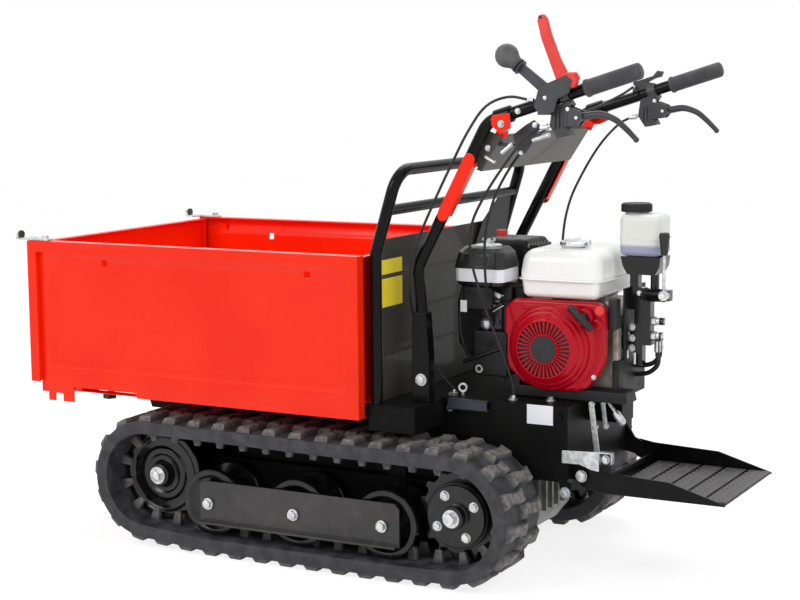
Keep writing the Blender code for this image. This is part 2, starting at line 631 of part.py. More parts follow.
def front_gate():
    """Front wall, hinged along the floor's front edge."""
    body = "front_gate"
    gate_x, gate_z = GATE_AXIS
    pivot(body, (gate_x, 0, gate_z), "dump_box")
    half = 0.3540
    front, back = -0.8320, -0.8290
    sheet = [(front, 0.404), (back, 0.404), (back, 0.724), (-0.810, 0.724), (-0.810, 0.728), (front, 0.728)]
    parts = [slab(sheet, "y", -half, half)]
    parts.append(block((front, -0.8130), (-half, half), (0.4040, 0.4080)))
    holes = []
    for side in (-1, 1):
        parts.append(block((front, -0.8110), (side * (half - 0.003), side * half), (0.4050, 0.7270)))
        knuckle = [(gate_x - 0.0065, gate_z - 0.0065), (gate_x + 0.0065, gate_z - 0.0065),
                   (gate_x + 0.0065, gate_z + 0.0065), (back, 0.407), (front, 0.407),
                   (gate_x - 0.0065, gate_z + 0.0075)]
        parts.append(slab(knuckle, "y", side * 0.1960, side * 0.2640))
        holes.append(rod((gate_x, side * 0.190, gate_z), (gate_x, side * 0.270, gate_z), 0.0040, 10))
    for z in (0.500, 0.610):
        parts.append(block((front - 0.0035, front + 0.001), (-0.300, 0.300), (z, z + 0.030)))
    fuse(body, RED, parts, holes, body=body)


def slide_knob(side_name, side):
    """Star knob on a screw that clamps the front slide bar."""
    body = "slide_knob_" + side_name
    x, y = BAR_X[0], side * 0.25
    pivot(body, (x, y, 0.345), "dump_box")
    lobes = 5
    star = []
    for i in range(lobes * 4):
        r = 0.017 if i % 4 < 2 else 0.0135
        angle = i * 2 * math.pi / (lobes * 4)
        star.append((x + r * math.cos(angle), y + r * math.sin(angle)))
    knob = slab(star, "z", 0.3260, 0.3420)
    screw = rod((x, y, 0.3400), (x, y, 0.3655), 0.0040, 10)
    fuse(body, PLASTIC, [knob, screw], body=body)


def tipping_ram():
    """Hydraulic ram under the floor; its rod end stands free between the floor's lugs."""
    foot = Vector((RAM_FOOT[0], 0, RAM_FOOT[1]))
    eye = Vector((RAM_EYE[0], 0, RAM_EYE[1]))
    line = (eye - foot).normalized()
    barrel_r, bore, barrel_end = 0.026, 0.0135, 0.335
    pivot("ram_barrel", foot[:])
    parts = [rod(foot + line * 0.026, foot + line * barrel_end, barrel_r, 20)]
    parts.append(rod(foot + line * (barrel_end - 0.002), foot + line * (barrel_end + 0.010), 0.021, 20))
    parts.append(rod((foot.x, -0.0125, foot.z), (foot.x, 0.0125, foot.z), 0.020, 16))
    parts.append(block((foot.x - 0.030, foot.x - 0.006), (-0.011, 0.011), (foot.z - 0.010, foot.z + 0.016)))
    holes = [rod(foot + line * 0.060, foot + line * (barrel_end + 0.020), bore, 16)]
    holes.append(rod((foot.x, -0.02, foot.z), (foot.x, 0.02, foot.z), 0.0085, 12))
    fuse("ram_barrel", BLACK, parts, holes, body="ram_barrel")
    pivot("ram_rod", eye[:], "ram_barrel")
    parts = [rod(foot + line * 0.070, eye, 0.0130, 16)]
    parts.append(rod((eye.x, -0.0100, eye.z), (eye.x, 0.0100, eye.z), 0.0165, 16))
    fuse("ram_rod", ZINC, parts, body="ram_rod")


# Guard and handlebars

def guard():
    """Bent tube hoop with a cross bar, and the sheet welded between its posts."""
    lean_foot, top_z = 0.734, 0.922
    top_x = GUARD_X + (top_z - lean_foot) * 0.307
    half = []
    for side in (-1, 1):
        half.append([(GUARD_X, side * GUARD_Y, SHELF_TOP + GAP), (GUARD_X, side * GUARD_Y, lean_foot),
                     (top_x, side * GUARD_Y, top_z)])
    corners = half[0] + half[1][::-1]
    hoop = tube(rounded(corners, 0.050), BAR_R)
    bar_z = 0.832
    bar_x = GUARD_X + (bar_z - lean_foot) * 0.307
    bar = rod((bar_x, -GUARD_Y, bar_z), (bar_x, GUARD_Y, bar_z), 0.0120, 12)
    edge = GUARD_Y - BAR_R / 2
    sheet = block((GUARD_X - 0.0015, GUARD_X + 0.0015), (-edge, edge), (SHELF_TOP + 0.010, 0.764))
    fold = block((GUARD_X, GUARD_X + 0.012), (-edge + 0.01, edge - 0.01), (0.588, 0.592))
    fuse("guard_frame", BLACK, [hoop, bar, sheet, fold])


def bar_point(x):
    """Height of the handlebar's upper, grip end at a given x."""
    return 1.0450 + (x - 0.416) * 0.3064


def handlebar(side_name, side):
    """Channel leg bolted to the chassis, with the tube that bends up and back to the grip."""
    y = side * HANDLE_Y
    leg = [(0.178, SHELF_TOP + GAP), (0.221, SHELF_TOP + GAP), (0.221, 0.500), (0.214, 0.600), (0.184, 0.600),
           (0.178, 0.560)]
    parts = [slab(leg, "y", y - 0.0155, y + 0.0155)]
    path = [(0.199, y, 0.580), (0.190, y, 0.672), (0.345, y, bar_point(0.345)), (0.708, y, bar_point(0.708))]
    parts.append(tube(rounded(path, 0.055), BAR_R))
    parts.append(bolt_head((0.202, y + side * 0.0150, 0.447), (0, side, 0), 0.024, 0.009))
    collar = Vector((0.382, y, bar_point(0.382)))
    slope = Vector((1, 0, 0.3064)).normalized()
    parts.append(rod(collar, collar + slope * 0.040, 0.0185, 12))
    fuse("handlebar_" + side_name, BLACK, parts)


def grip(side_name, side):
    y = side * HANDLE_Y
    slope = Vector((1, 0, 0.3064)).normalized()
    start = Vector((0.592, y, bar_point(0.592)))
    length = 0.129
    hole = BAR_R + 0.0007
    ring = [(0.0, hole), (0.0, 0.0195), (0.008, 0.0195), (0.012, GRIP_R), (length - 0.006, GRIP_R),
            (length, 0.013), (length, hole)]
    fuse("grip_" + side_name, GRIP, [turned(ring, start, slope, 14)])


def control_shelf():
    """Sheet panel between the handlebars that carries the controls, with a tab to each bar."""
    front, back = (0.327, 0.922), (0.388, 1.000)
    thick = 0.003
    edge = HANDLE_Y - BAR_R - 0.0004
    panel = slab([front, (front[0] + 0.012, front[1] - 0.004), (back[0] + thick, back[1] - thick), back],
                 "y", -edge, edge)
    parts = [panel]
    for side in (-1, 1):
        tab = [(0.314, 0.952), (0.332, 0.924), (0.386, 0.996), (0.352, 1.010)]
        parts.append(slab(tab, "y", side * (edge - 0.003), side * edge))
    fuse("control_shelf", BLACK, parts)


def lever_perch(side_name, side):
    """Ribbed clutch lever holder clamped under the bar.

    The left one carries the plate for the gear lever and the red lever, the right one the throttle.
    """
    y = side * HANDLE_Y
    ring_x = 0.546
    slope = Vector((1, 0, 0.3064)).normalized()
    ring = turned([(-0.010, BAR_R + GAP), (-0.010, 0.0172), (0.010, 0.0172), (0.010, BAR_R + GAP)],
                  (ring_x, y, bar_point(ring_x)), slope, 16)
    body = [(0.520, 1.060), (0.558, 1.0735), (0.564, 1.066), (0.552, 1.048), (0.552, 1.018), (0.562, 1.000),
            (0.532, 0.994), (0.514, 1.020)]
    if side > 0:
        body = [(x, z + 0.006) for x, z in body]
    cheek = slab(body, "y", y - 0.014, y + 0.014)
    bore = rod((0.47, y, bar_point(0.47)), (0.60, y, bar_point(0.60)), BAR_R + GAP, 16)
    parts = [cheek]
    for i in range(4):
        x = 0.524 + 0.009 * i
        parts.append(block((x, x + 0.004), (y - 0.017, y + 0.017), (1.014 + 0.002 * i, 1.046 + 0.002 * i)))
    lug = [(0.546, 1.060), (0.562, 1.060), (0.584, 1.052), (0.590, 1.036), (0.578, 1.022), (0.546, 1.018)]
    for y0, y1 in ((-0.016, -0.009), (0.009, 0.016)):
        parts.append(slab(lug, "y", y + y0, y + y1))
    parts.append(rod((0.576, y - 0.012, 1.038), (0.576, y + 0.012, 1.038), 0.0030, 10))
    if side > 0:
        hub_x = 0.508
        hub_z = bar_point(hub_x) + 0.028
        for y0, y1 in ((-0.0105, -0.0065), (0.0065, 0.0105)):
            parts.append(slab([(hub_x - 0.010, hub_z - 0.020), (hub_x + 0.046, hub_z - 0.004),
                               (hub_x + 0.040, hub_z + 0.002), (hub_x + 0.008, hub_z + 0.008),
                               (hub_x - 0.008, hub_z + 0.006)], "y", y + y0, y + y1))
        parts.append(rod((hub_x, y - 0.009, hub_z), (hub_x, y + 0.009, hub_z), 0.0025, 10))
    else:
        plate = [(0.486, 1.062), (0.498, 1.104), (0.520, 1.112), (0.560, 1.128), (0.574, 1.116), (0.566, 1.090),
                 (0.540, 1.078), (0.532, 1.050), (0.500, 1.044)]
        parts.append(slab(plate, "y", y - 0.0340, y - 0.0300))
        parts.append(block((0.494, 0.5243), (y - 0.0320, y + 0.0171), (1.0440, 1.0760)))
        for pin_x, pin_z in ((0.512, 1.096), (0.558, 1.112)):
            parts.append(rod((pin_x, y - 0.031, pin_z), (pin_x, y - 0.0185, pin_z), 0.0035, 10))
    joined = fuse("work", PLASTIC, parts, [bore])
    fuse("lever_perch_" + side_name, PLASTIC, [joined, ring])


def clutch_lever(side_name, side):
    """Curved hand lever under the grip."""
    body = "clutch_lever_" + side_name
    y = side * HANDLE_Y
    axis = (0.576, 1.038)
    pivot(body, (axis[0], y, axis[1]))
    upper = [(0.568, 1.044), (0.590, 1.050), (0.625, 1.053), (0.660, 1.043), (0.690, 1.020), (0.712, 0.996)]
    lower = [(0.704, 0.988), (0.682, 1.008), (0.655, 1.028), (0.625, 1.037), (0.592, 1.032), (0.574, 1.030)]
    blade = slab(upper + lower, "y", y - 0.0080, y + 0.0080)
    hole = rod((axis[0], y - 0.02, axis[1]), (axis[0], y + 0.02, axis[1]), 0.0035, 10)
    fuse(body, PLASTIC, [blade], [hole], body=body)


def gear_lever():
    body = "gear_lever"
    y = -HANDLE_Y
    axis = Vector((0.512, y, 1.096))
    pivot(body, axis[:])
    knob = Vector((0.420, y - 0.0240, 1.169))
    line = (knob - Vector((axis.x, y - 0.0240, axis.z))).normalized()
    square = Vector((-line.z, 0, line.x))
    start = Vector((axis.x, 0, axis.z))
    end = Vector((knob.x, 0, knob.z)) - line * 0.015
    outline = [start - line * 0.013 + square * 0.008, start - line * 0.013 - square * 0.008,
               start - square * 0.0125, end - square * 0.0105, end + square * 0.0105, start + square * 0.0125]
    arm = slab([(p.x, p.z) for p in outline], "y", y - 0.0295, y - 0.0190)
    ball = turned([(-0.034, 0.0), (-0.034, 0.017), (-0.020, 0.019), (-0.010, 0.0235), (0.006, 0.0260),
                   (0.020, 0.0200), (0.026, 0.009), (0.027, 0.0)], knob, line, 14)
    hole = rod((axis.x, y - 0.05, axis.z), (axis.x, y, axis.z), 0.0040, 10)
    fuse(body, PLASTIC, [arm, ball], [hole], body=body)


def drive_lever():
    """Red lever beside the left bar."""
    body = "drive_lever"
    y = -HANDLE_Y
    pivot(body, (0.558, y, 1.112))
    outline = [(0.540, 1.106), (0.552, 1.098), (0.578, 1.106), (0.588, 1.122), (0.580, 1.134), (0.560, 1.134),
               (0.545, 1.160), (0.524, 1.212), (0.514, 1.246), (0.506, 1.256), (0.494, 1.254), (0.491, 1.242),
               (0.500, 1.205), (0.520, 1.154), (0.532, 1.124)]
    blade = slab(outline, "y", y - 0.0295, y - 0.0190)
    hole = rod((0.558, y - 0.05, 1.112), (0.558, y, 1.112), 0.0040, 10)
    fuse(body, RED, [blade], [hole], body=body)


def throttle_lever():
    body = "throttle_lever"
    y = HANDLE_Y
    x = 0.508
    z = bar_point(x) + 0.028
    pivot(body, (x, y, z))
    outline = [(x - 0.008, z - 0.003), (x, z - 0.008), (x + 0.010, z - 0.002), (x + 0.045, z + 0.014),
               (x + 0.060, z + 0.018), (x + 0.064, z + 0.030), (x + 0.050, z + 0.032), (x + 0.040, z + 0.020),
               (x + 0.004, z + 0.009), (x - 0.006, z + 0.007)]
    blade = slab(outline, "y", y - 0.0055, y + 0.0055)
    hole = rod((x, y - 0.02, z), (x, y + 0.02, z), 0.0030, 10)
    fuse(body, PLASTIC, [blade], [hole], body=body)


# Engine

def rounded_box(xs, ys, zs, radius, segments=2):
    """A block with all its edges rounded."""
    bm = bmesh.new()
    size = [abs(b - a) for a, b in (xs, ys, zs)]
    middle = [(a + b) / 2 for a, b in (xs, ys, zs)]
    bmesh.ops.create_cube(bm, size=1.0, matrix=Matrix.Translation(middle) @ Matrix.Diagonal((*size, 1.0)))
    bmesh.ops.bevel(bm, geom=list(bm.edges), offset=radius, segments=segments, profile=0.5,
                    affect="EDGES", material=-1)
    return piece(bm)


def engine():
    """Single-cylinder engine: alloy block with the sloping head, and the pieces bolted on it."""
    foot = BED_Z[1] + GAP
    crankcase = [(0.392, foot), (0.588, foot), (0.588, 0.585), (0.560, 0.618), (0.440, 0.618), (0.392, 0.560)]
    parts = [slab(crankcase, "y", -0.0690, 0.1000)]
    head = [(0.400, 0.440), (0.400, 0.600), (0.330, 0.648), (0.270, 0.640), (0.236, 0.570), (0.252, 0.478),
            (0.320, 0.440)]
    parts.append(slab(head, "y", -0.0550, 0.0900))
    parts.append(rod((0.470, 0.095, 0.500), (0.470, 0.135, 0.500), 0.055, 20))
    parts.append(block((0.268, 0.338), (-0.130, -0.050), (0.560, 0.6500 - GAP)))
    parts.append(rod((0.300, -0.115, 0.575), (0.300, -0.115, 0.490), 0.022, 14))
    parts.append(block((0.262, 0.335), (0.020, 0.080), (0.630, 0.6600 - GAP)))
    for x in (0.430, 0.540):
        parts.append(block((x - 0.012, x + 0.012), (-0.045, 0.045), (0.610, 0.6260 - GAP)))
    for y, z in ((0.006, 0.466), (0.014, 0.444)):
        parts.append(rod((0.580, y, z), (0.6000, y, z), 0.009, 12))
    fuse("engine_block", ALLOY, parts)

    fan = (0.449, 0.513)
    shell = [(0.372, 0.430), (0.410, 0.424), (0.575, 0.424), (0.598, 0.440), (0.604, 0.560), (0.594, 0.600),
             (0.570, 0.6235), (0.380, 0.6235), (0.350, 0.600), (0.344, 0.560), (0.348, 0.460)]
    parts = [slab(shell, "y", -0.1330, -0.0700)]
    parts.append(turned([(0.0, 0.0), (0.0, 0.099), (0.020, 0.095), (0.028, 0.086), (0.034, 0.070), (0.036, 0.0)],
                        (fan[0], -0.1310, fan[1]), (0, -1, 0), 24))
    parts.append(rod((0.549, -0.125, 0.590), (0.549, -0.1480, 0.590), 0.020, 14))
    rope_hole = rod((0.549, -0.0750, 0.590), (0.549, -0.1600, 0.590), 0.0035, 10)
    pocket = [(0.378, 0.436), (0.410, 0.430), (0.574, 0.430), (0.592, 0.444), (0.598, 0.560), (0.589, 0.596),
              (0.566, 0.617), (0.384, 0.617), (0.356, 0.596), (0.350, 0.560), (0.354, 0.464)]
    hollow = slab(pocket, "y", -0.1280, -0.0600)
    fuse("fan_cover", CRIMSON, parts, [rope_hole, hollow])

    pivot("recoil_handle", (0.549, -0.1490, 0.590))
    bar = tube([(0.524, -0.1570, 0.612), (0.549, -0.1600, 0.590), (0.574, -0.1570, 0.568)], 0.0080)
    boss = rod((0.549, -0.1485, 0.590), (0.549, -0.1600, 0.590), 0.0100, 12)
    rope = rod((0.549, -0.0850, 0.590), (0.549, -0.1550, 0.590), 0.0030, 8)
    fuse("recoil_handle", PLASTIC, [bar, boss, rope], body="recoil_handle")

    upper = rounded_box((0.377, 0.580), (-0.132, 0.078), (0.655, 0.746), 0.026)
    lower = rounded_box((0.384, 0.573), (-0.124, 0.070), (0.6260, 0.690), 0.010, 1)
    seam = rounded_box((0.374, 0.583), (-0.135, 0.081), (0.668, 0.673), 0.0015, 1)
    neck = rod((0.475, -0.040, 0.735), (0.475, -0.040, 0.7500), 0.022, 16)
    fuse("fuel_tank", WHITE, [upper, lower, seam, neck])

    pivot("fuel_cap", (0.475, -0.040, 0.7500))
    cap = turned([(0.0003, 0.0), (0.0003, 0.027), (0.004, 0.030), (0.012, 0.030), (0.015, 0.026), (0.016, 0.0)],
                 (0.475, -0.040, 0.7500), (0, 0, 1), 20)
    tab = block((0.4725, 0.4775), (-0.066, -0.014), (0.7640, 0.7720))
    fuse("fuel_cap", ZINC, [cap, tab], body="fuel_cap")

    cleaner = rounded_box((0.2235, 0.3525), (-0.165, -0.045), (0.6500, 0.742), 0.014)
    stud = rod((0.288, -0.105, 0.740), (0.288, -0.105, 0.752), 0.008, 10)
    wings = block((0.270, 0.306), (-0.107, -0.103), (0.748, 0.760))
    fuse("air_cleaner", PLASTIC, [cleaner, stud, wings])

    can = rounded_box((0.238, 0.350), (-0.0300, 0.100), (0.6600, 0.7600), 0.012, 1)
    outlet = rod((0.240, 0.060, 0.700), (0.222, 0.060, 0.700), 0.012, 12)
    inside = block((0.251, 0.337), (-0.017, 0.087), (0.673, 0.747))
    bore = rod((0.256, 0.060, 0.700), (0.210, 0.060, 0.700), 0.009, 12)
    fuse("muffler", BLACK, [can, outlet], [inside, bore])


# Hydraulics

def hydraulics():
    """Post behind the engine with the valve, the oil bottle in its tray over it and two hoses to the pump."""
    valve_x, valve_y, valve_z = 0.700, -0.072, 0.640
    near, far = -0.035, -0.012
    parts = [block((0.617, 0.637), (near, far), (0.4726, 0.650))]
    parts.append(block((0.603, 0.640), (near, far), (0.600, 0.650)))
    parts.append(block((0.606, 0.626), (near, far), (0.640, 0.683)))
    parts.append(block((0.588 + GAP, 0.622), (near, far), (0.505, 0.560)))
    tray = [(0.604, 0.681), (0.670, 0.681), (0.680, 0.700), (0.682, 0.7215), (0.588, 0.7215), (0.593, 0.700)]
    parts.append(slab(tray, "y", -0.048, 0.018))
    parts.append(rod((0.662, -0.025, 0.640), (0.662, -0.025, 0.683), 0.0100, 12))
    parts.append(block((0.636, 0.656), (near - 0.001, far + 0.002), (0.520, 0.640)))
    parts.append(rod((0.638, -0.024, 0.633), (0.694, -0.054, 0.638), 0.0150, 14))
    parts.append(block((0.688, 0.710), (-0.064, -0.042), (0.627, 0.651)))
    parts.append(rod((valve_x, -0.060, valve_z), (valve_x, -0.0795, valve_z), 0.0030, 10))
    parts.append(rod((0.652, -0.023, 0.575), (0.684, -0.023, 0.575), 0.0090, 12))
    parts.append(rod((0.652, -0.023, 0.541), (0.679, -0.023, 0.541), 0.0100, 12))
    for y in (-0.025, -0.010):
        parts.append(block((0.664, 0.676), (y - 0.0060, y + 0.0060), (0.505, 0.536)))
    parts.append(block((0.664, 0.676), (-0.026, -0.009), (0.528, 0.540)))
    fuse("hydraulic_valve", BLACK, parts)

    cap_x, cap_y, cap_z = 0.6135, -0.015, 0.8203
    bottle = rounded_box((0.585, 0.683), (-0.055, 0.025), (0.7220, 0.8170), 0.014)
    neck = rod((cap_x, cap_y, 0.805), (cap_x, cap_y, 0.8200), 0.026, 16)
    fuse("oil_tank", BOTTLE, [bottle, neck])
    pivot("oil_cap", (cap_x, cap_y, cap_z))
    cap = turned([(0.0, 0.0), (0.0, 0.0350), (0.017, 0.0350), (0.020, 0.032), (0.020, 0.0)],
                 (cap_x, cap_y, cap_z), (0, 0, 1), 20)
    fuse("oil_cap", PLASTIC, [cap], body="oil_cap")

    pivot("valve_lever", (valve_x, valve_y, valve_z))
    hub = turned([(-0.0065, 0.0035), (-0.0065, 0.0110), (0.0065, 0.0110), (0.0065, 0.0035)],
                 (valve_x, valve_y, valve_z), (0, 1, 0), 12)
    stem = rod((valve_x, valve_y, valve_z + 0.008), (valve_x, valve_y, 0.745), 0.0040, 8)
    knob = turned([(0.0, 0.0), (0.0, 0.0075), (0.030, 0.0110), (0.044, 0.0120), (0.050, 0.0090), (0.051, 0.0)],
                  (valve_x, valve_y, 0.730), (0, 0, 1), 12)
    fuse("valve_lever", ZINC, [hub, stem, knob], body="valve_lever")

    port_z = 0.5047
    routes = (
        ("hydraulic_hose_upper", [(0.6003, 0.006, 0.466), (0.611, 0.006, 0.466), (0.638, 0.001, 0.470),
                                  (0.658, -0.006, 0.480), (0.669, -0.010, 0.494), (0.670, -0.010, 0.498),
                                  (0.670, -0.010, port_z)]),
        ("hydraulic_hose_lower", [(0.6003, 0.014, 0.444), (0.611, 0.014, 0.444), (0.640, 0.000, 0.452),
                                  (0.664, -0.016, 0.470), (0.672, -0.024, 0.487), (0.670, -0.025, 0.497),
                                  (0.670, -0.025, port_z)]),
    )
    for name, route in routes:
        fuse(name, HOSE, [tube(cord_line(route, 0.014), 0.0055)])


def cord_line(route, spacing):
    """A smooth line whose first and last stretches stay straight."""
    return [Vector(route[0])] + smooth_line(route[1:-1], spacing) + [Vector(route[-1])]


# Platform and cables

def platform():
    """Folding step: two tapered side plates, a cross tube and the perforated tread."""
    body = "platform"
    ax, az = PLATFORM_AXIS
    pivot(body, (ax, 0, az))
    side_plate = [(ax - 0.018, az + 0.002), (ax - 0.012, az + 0.014), (ax + 0.004, az + 0.018), (0.592, 0.252),
                  (0.752, 0.245), (0.880, 0.2075), (0.880, 0.2035), (0.600, 0.2035), (0.555, 0.2120),
                  (ax - 0.014, az - 0.016)]
    parts = []
    holes = []
    for side in (-1, 1):
        parts.append(slab(side_plate, "y", side * 0.1712, side * 0.1762))
        holes.append(rod((ax, side * 0.168, az), (ax, side * 0.180, az), 0.0080, 14))
    parts.append(block((0.590, 0.879), (-0.172, 0.172), (0.2042, 0.2082)))
    strips = 5
    for i in range(strips):
        x0 = 0.606 + 0.0555 * i
        tread = []
        teeth = 8
        width = 0.330
        for j in range(teeth * 2 + 1):
            y = -width / 2 + width * j / (teeth * 2)
            tread.append((x0 + (0.0 if j % 2 else 0.005), y))
        tread += [(x0 + 0.046, width / 2), (x0 + 0.046, -width / 2)]
        parts.append(slab(tread, "z", 0.2075, 0.2110))
    parts.append(block((0.588, 0.594), (-0.172, 0.172), (0.2050, 0.2300)))
    fuse(body, BLACK, parts, holes, body=body)


def cables():
    """Bowden cables, held by the machine at both ends."""
    bed_top = BED_Z[1] + GAP
    routes = (
        ("gear_cable", [(0.4855, -0.298, 1.076), (0.474, -0.298, 1.076), (0.425, -0.297, 1.082),
                        (0.372, -0.296, 1.062), (0.328, -0.294, 1.008), (0.284, -0.293, 0.930),
                        (0.240, -0.293, 0.845), (0.200, -0.290, 0.760), (0.170, -0.276, 0.670),
                        (0.160, -0.235, 0.580), (0.170, -0.200, 0.500), (0.205, -0.182, 0.440),
                        (0.232, -0.176, 0.412), (0.232, -0.176, bed_top)]),
        ("clutch_cable_left", [(0.5137, -0.266, 1.020), (0.500, -0.266, 1.020), (0.455, -0.262, 0.998),
                               (0.405, -0.254, 0.945), (0.350, -0.248, 0.872), (0.308, -0.236, 0.800),
                               (0.295, -0.217, 0.730), (0.305, -0.202, 0.660), (0.330, -0.192, 0.580),
                               (0.362, -0.187, 0.500), (0.384, -0.184, 0.435), (0.386, -0.184, 0.410),
                               (0.386, -0.184, bed_top)]),
        ("clutch_cable_right", [(0.5137, 0.266, 1.026), (0.500, 0.266, 1.026), (0.462, 0.262, 1.006),
                                (0.420, 0.248, 0.958), (0.385, 0.223, 0.890), (0.364, 0.190, 0.820),
                                (0.358, 0.165, 0.740), (0.364, 0.155, 0.640), (0.374, 0.155, 0.520),
                                (0.380, 0.158, 0.435), (0.380, 0.158, 0.410), (0.380, 0.158, bed_top)]),
        ("throttle_cable", [(0.5045, 0.2552, 1.0950), (0.5045, 0.244, 1.0950), (0.492, 0.190, 1.076),
                            (0.468, 0.100, 1.050), (0.444, 0.000, 1.030), (0.424, -0.100, 1.004),
                            (0.396, -0.180, 0.950), (0.356, -0.212, 0.866), (0.328, -0.206, 0.780),
                            (0.318, -0.190, 0.700), (0.312, -0.165, 0.635), (0.314, -0.142, 0.605),
                            (0.314, -0.1303, 0.605)]),
    )
    for name, route in routes:
        fuse(name, HOSE, [tube(cord_line(route, 0.040), 0.0030)])


pivot("dump_box", (TIP_AXIS[0], 0, TIP_AXIS[1]))
chassis_frame()
engine_bed()
gearbox()
for name, sign in SIDES:
    track_belt(name, sign)
    track_frame(name, sign)
    roller_plate(name, sign)
    sprocket(name, sign)
    idler(name, sign)
    for number in range(len(ROLLER_X)):
        roller(name, sign, number)
    side_panel(name, sign)
    gate_latch(name, sign)
    slide_knob(name, sign)
    handlebar(name, sign)
    grip(name, sign)
    lever_perch(name, sign)
    clutch_lever(name, sign)
box_floor()
front_gate()
tipping_ram()
guard()
control_shelf()
gear_lever()
drive_lever()
throttle_lever()
engine()
hydraulics()
platform()
cables()
bpy.context.view_layer.update()
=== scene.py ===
"""Looks of a tracked power barrow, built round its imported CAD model."""
import math

import bmesh
import bpy
from mathutils import Matrix, Vector


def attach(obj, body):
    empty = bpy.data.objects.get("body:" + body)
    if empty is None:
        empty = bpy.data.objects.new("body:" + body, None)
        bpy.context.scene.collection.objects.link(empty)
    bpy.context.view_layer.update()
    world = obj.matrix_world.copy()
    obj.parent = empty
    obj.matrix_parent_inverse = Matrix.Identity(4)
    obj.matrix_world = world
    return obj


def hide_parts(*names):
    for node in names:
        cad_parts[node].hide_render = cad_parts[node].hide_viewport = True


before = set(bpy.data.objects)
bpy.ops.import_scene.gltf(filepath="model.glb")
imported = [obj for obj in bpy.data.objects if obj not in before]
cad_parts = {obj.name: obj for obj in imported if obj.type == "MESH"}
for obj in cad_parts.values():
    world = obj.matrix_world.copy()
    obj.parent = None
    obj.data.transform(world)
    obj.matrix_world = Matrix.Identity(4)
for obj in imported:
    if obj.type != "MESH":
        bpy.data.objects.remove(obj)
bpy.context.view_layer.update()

# Camera: a long lens on a tripod, off the machine's left rear corner at about chest height.
# It leans by half a degree.
azimuth, elevation, lean = (math.radians(a) for a in (28.25, 7.555, -0.4956))
back = Vector((math.sin(azimuth) * math.cos(elevation), -math.cos(azimuth) * math.cos(elevation),
               math.sin(elevation)))
camera = bpy.data.objects.new("camera", bpy.data.cameras.new("camera"))
camera.data.lens = 79.45
camera.data.sensor_width = 36.0
aim = (-back).to_track_quat("-Z", "Y").to_matrix() @ Matrix.Rotation(lean, 3, "Z")
camera.matrix_world = Matrix.Translation((2.02, -3.763, 1.15)) @ aim.to_4x4()
bpy.context.collection.objects.link(camera)
bpy.context.scene.camera = camera
bpy.context.scene.view_settings.view_transform = "Standard"


# Studio: a white floor and room, and soft lamps over the operator's end and the box's front.
# The room and the floor are white to the camera, and dimmer as a light.

def srgb(red, green, blue):
    """A colour written as it looks, from 0 to 255, as the shader wants it."""
    shares = (v / 255 for v in (red, green, blue))
    return (*(((s + 0.055) / 1.055) ** 2.4 if s > 0.04 else s / 12.92 for s in shares), 1)


class Field:
    """A shader value; sums and products of it add Math nodes to its material."""

    def __init__(self, tree, socket=None):
        self.tree = tree
        self.socket = socket

    def node(self, kind, inputs=None, output=0, **settings):
        made = self.tree.nodes.new("ShaderNode" + kind)
        for name, value in settings.items():
            setattr(made, name, value)
        for name, value in (inputs or {}).items():
            if isinstance(value, Field):
                self.tree.links.new(value.socket, made.inputs[name])
            else:
                made.inputs[name].default_value = value
        return Field(self.tree, made.outputs[output] if made.outputs else None)

    def maths(self, operation, *others):
        return self.node("Math", dict(enumerate((self, *others))), operation=operation)

    def __add__(self, other):
        return self.maths("ADD", other)

    def __rsub__(self, other):
        return self.node("Math", {0: other, 1: self}, operation="SUBTRACT")

    def __mul__(self, other):
        return self.maths("MULTIPLY", other)

    __radd__ = __add__
    __rmul__ = __mul__

    def step(self, low, high):
        """0 below low, 1 above high, and smooth between them."""
        return self.node("MapRange", {0: self, 1: low, 2: high}, interpolation_type="SMOOTHSTEP")

    def mix(self, first, second):
        """From first, where this is 0, to second, where it is 1: colours as srgb takes them."""
        first, second = (srgb(*c) if isinstance(c, tuple) else c for c in (first, second))
        return self.node("Mix", {0: self, 6: first, 7: second}, 2, data_type="RGBA")

    def cloud(self, scale, detail=2.0):
        """Soft noise with about that many patches a metre."""
        return self.node("TexNoise", {"Vector": self, "Scale": scale, "Detail": detail})

    def part(self, axis):
        """One of a vector's parts."""
        return self.node("SeparateXYZ", {0: self}, "XYZ".index(axis))


world = bpy.data.worlds.new("room")
bpy.context.scene.world = world
world.use_nodes = True
world.node_tree.nodes.clear()
room = Field(world.node_tree)
seen = (room.node("LightPath", output="Is Camera Ray") + room.node("LightPath", output="Is Transmission Ray")
        + room.node("LightPath", output="Is Glossy Ray"))
strength = (0.52 + 0.5 * seen).maths("MINIMUM", 1.0)
room.node("OutputWorld", {0: room.node("Background", {"Color": (1, 1, 1, 1), "Strength": strength})})

paper = bpy.data.materials.new("studio_paper")
paper.use_nodes = True
paper.node_tree.nodes.clear()
sheet = Field(paper.node_tree)
seen = sheet.node("LightPath", output="Is Camera Ray") + sheet.node("LightPath", output="Is Glossy Ray")
lit = sheet.node("BsdfDiffuse", {"Color": (0.9, 0.9, 0.9, 1)})
glow = sheet.node("Emission", {"Color": (1, 1, 1, 1), "Strength": 1.32})
sheet.node("OutputMaterial", {0: sheet.node("MixShader", {0: 0.62 * seen, 1: lit, 2: glow})})
ground = bmesh.new()
bmesh.ops.create_circle(ground, cap_ends=True, segments=64, radius=14.0)
floor_mesh = bpy.data.meshes.new("studio_floor")
ground.to_mesh(floor_mesh)
ground.free()
floor_mesh.materials.append(paper)
studio_floor = bpy.data.objects.new("studio_floor", floor_mesh)
bpy.context.collection.objects.link(studio_floor)

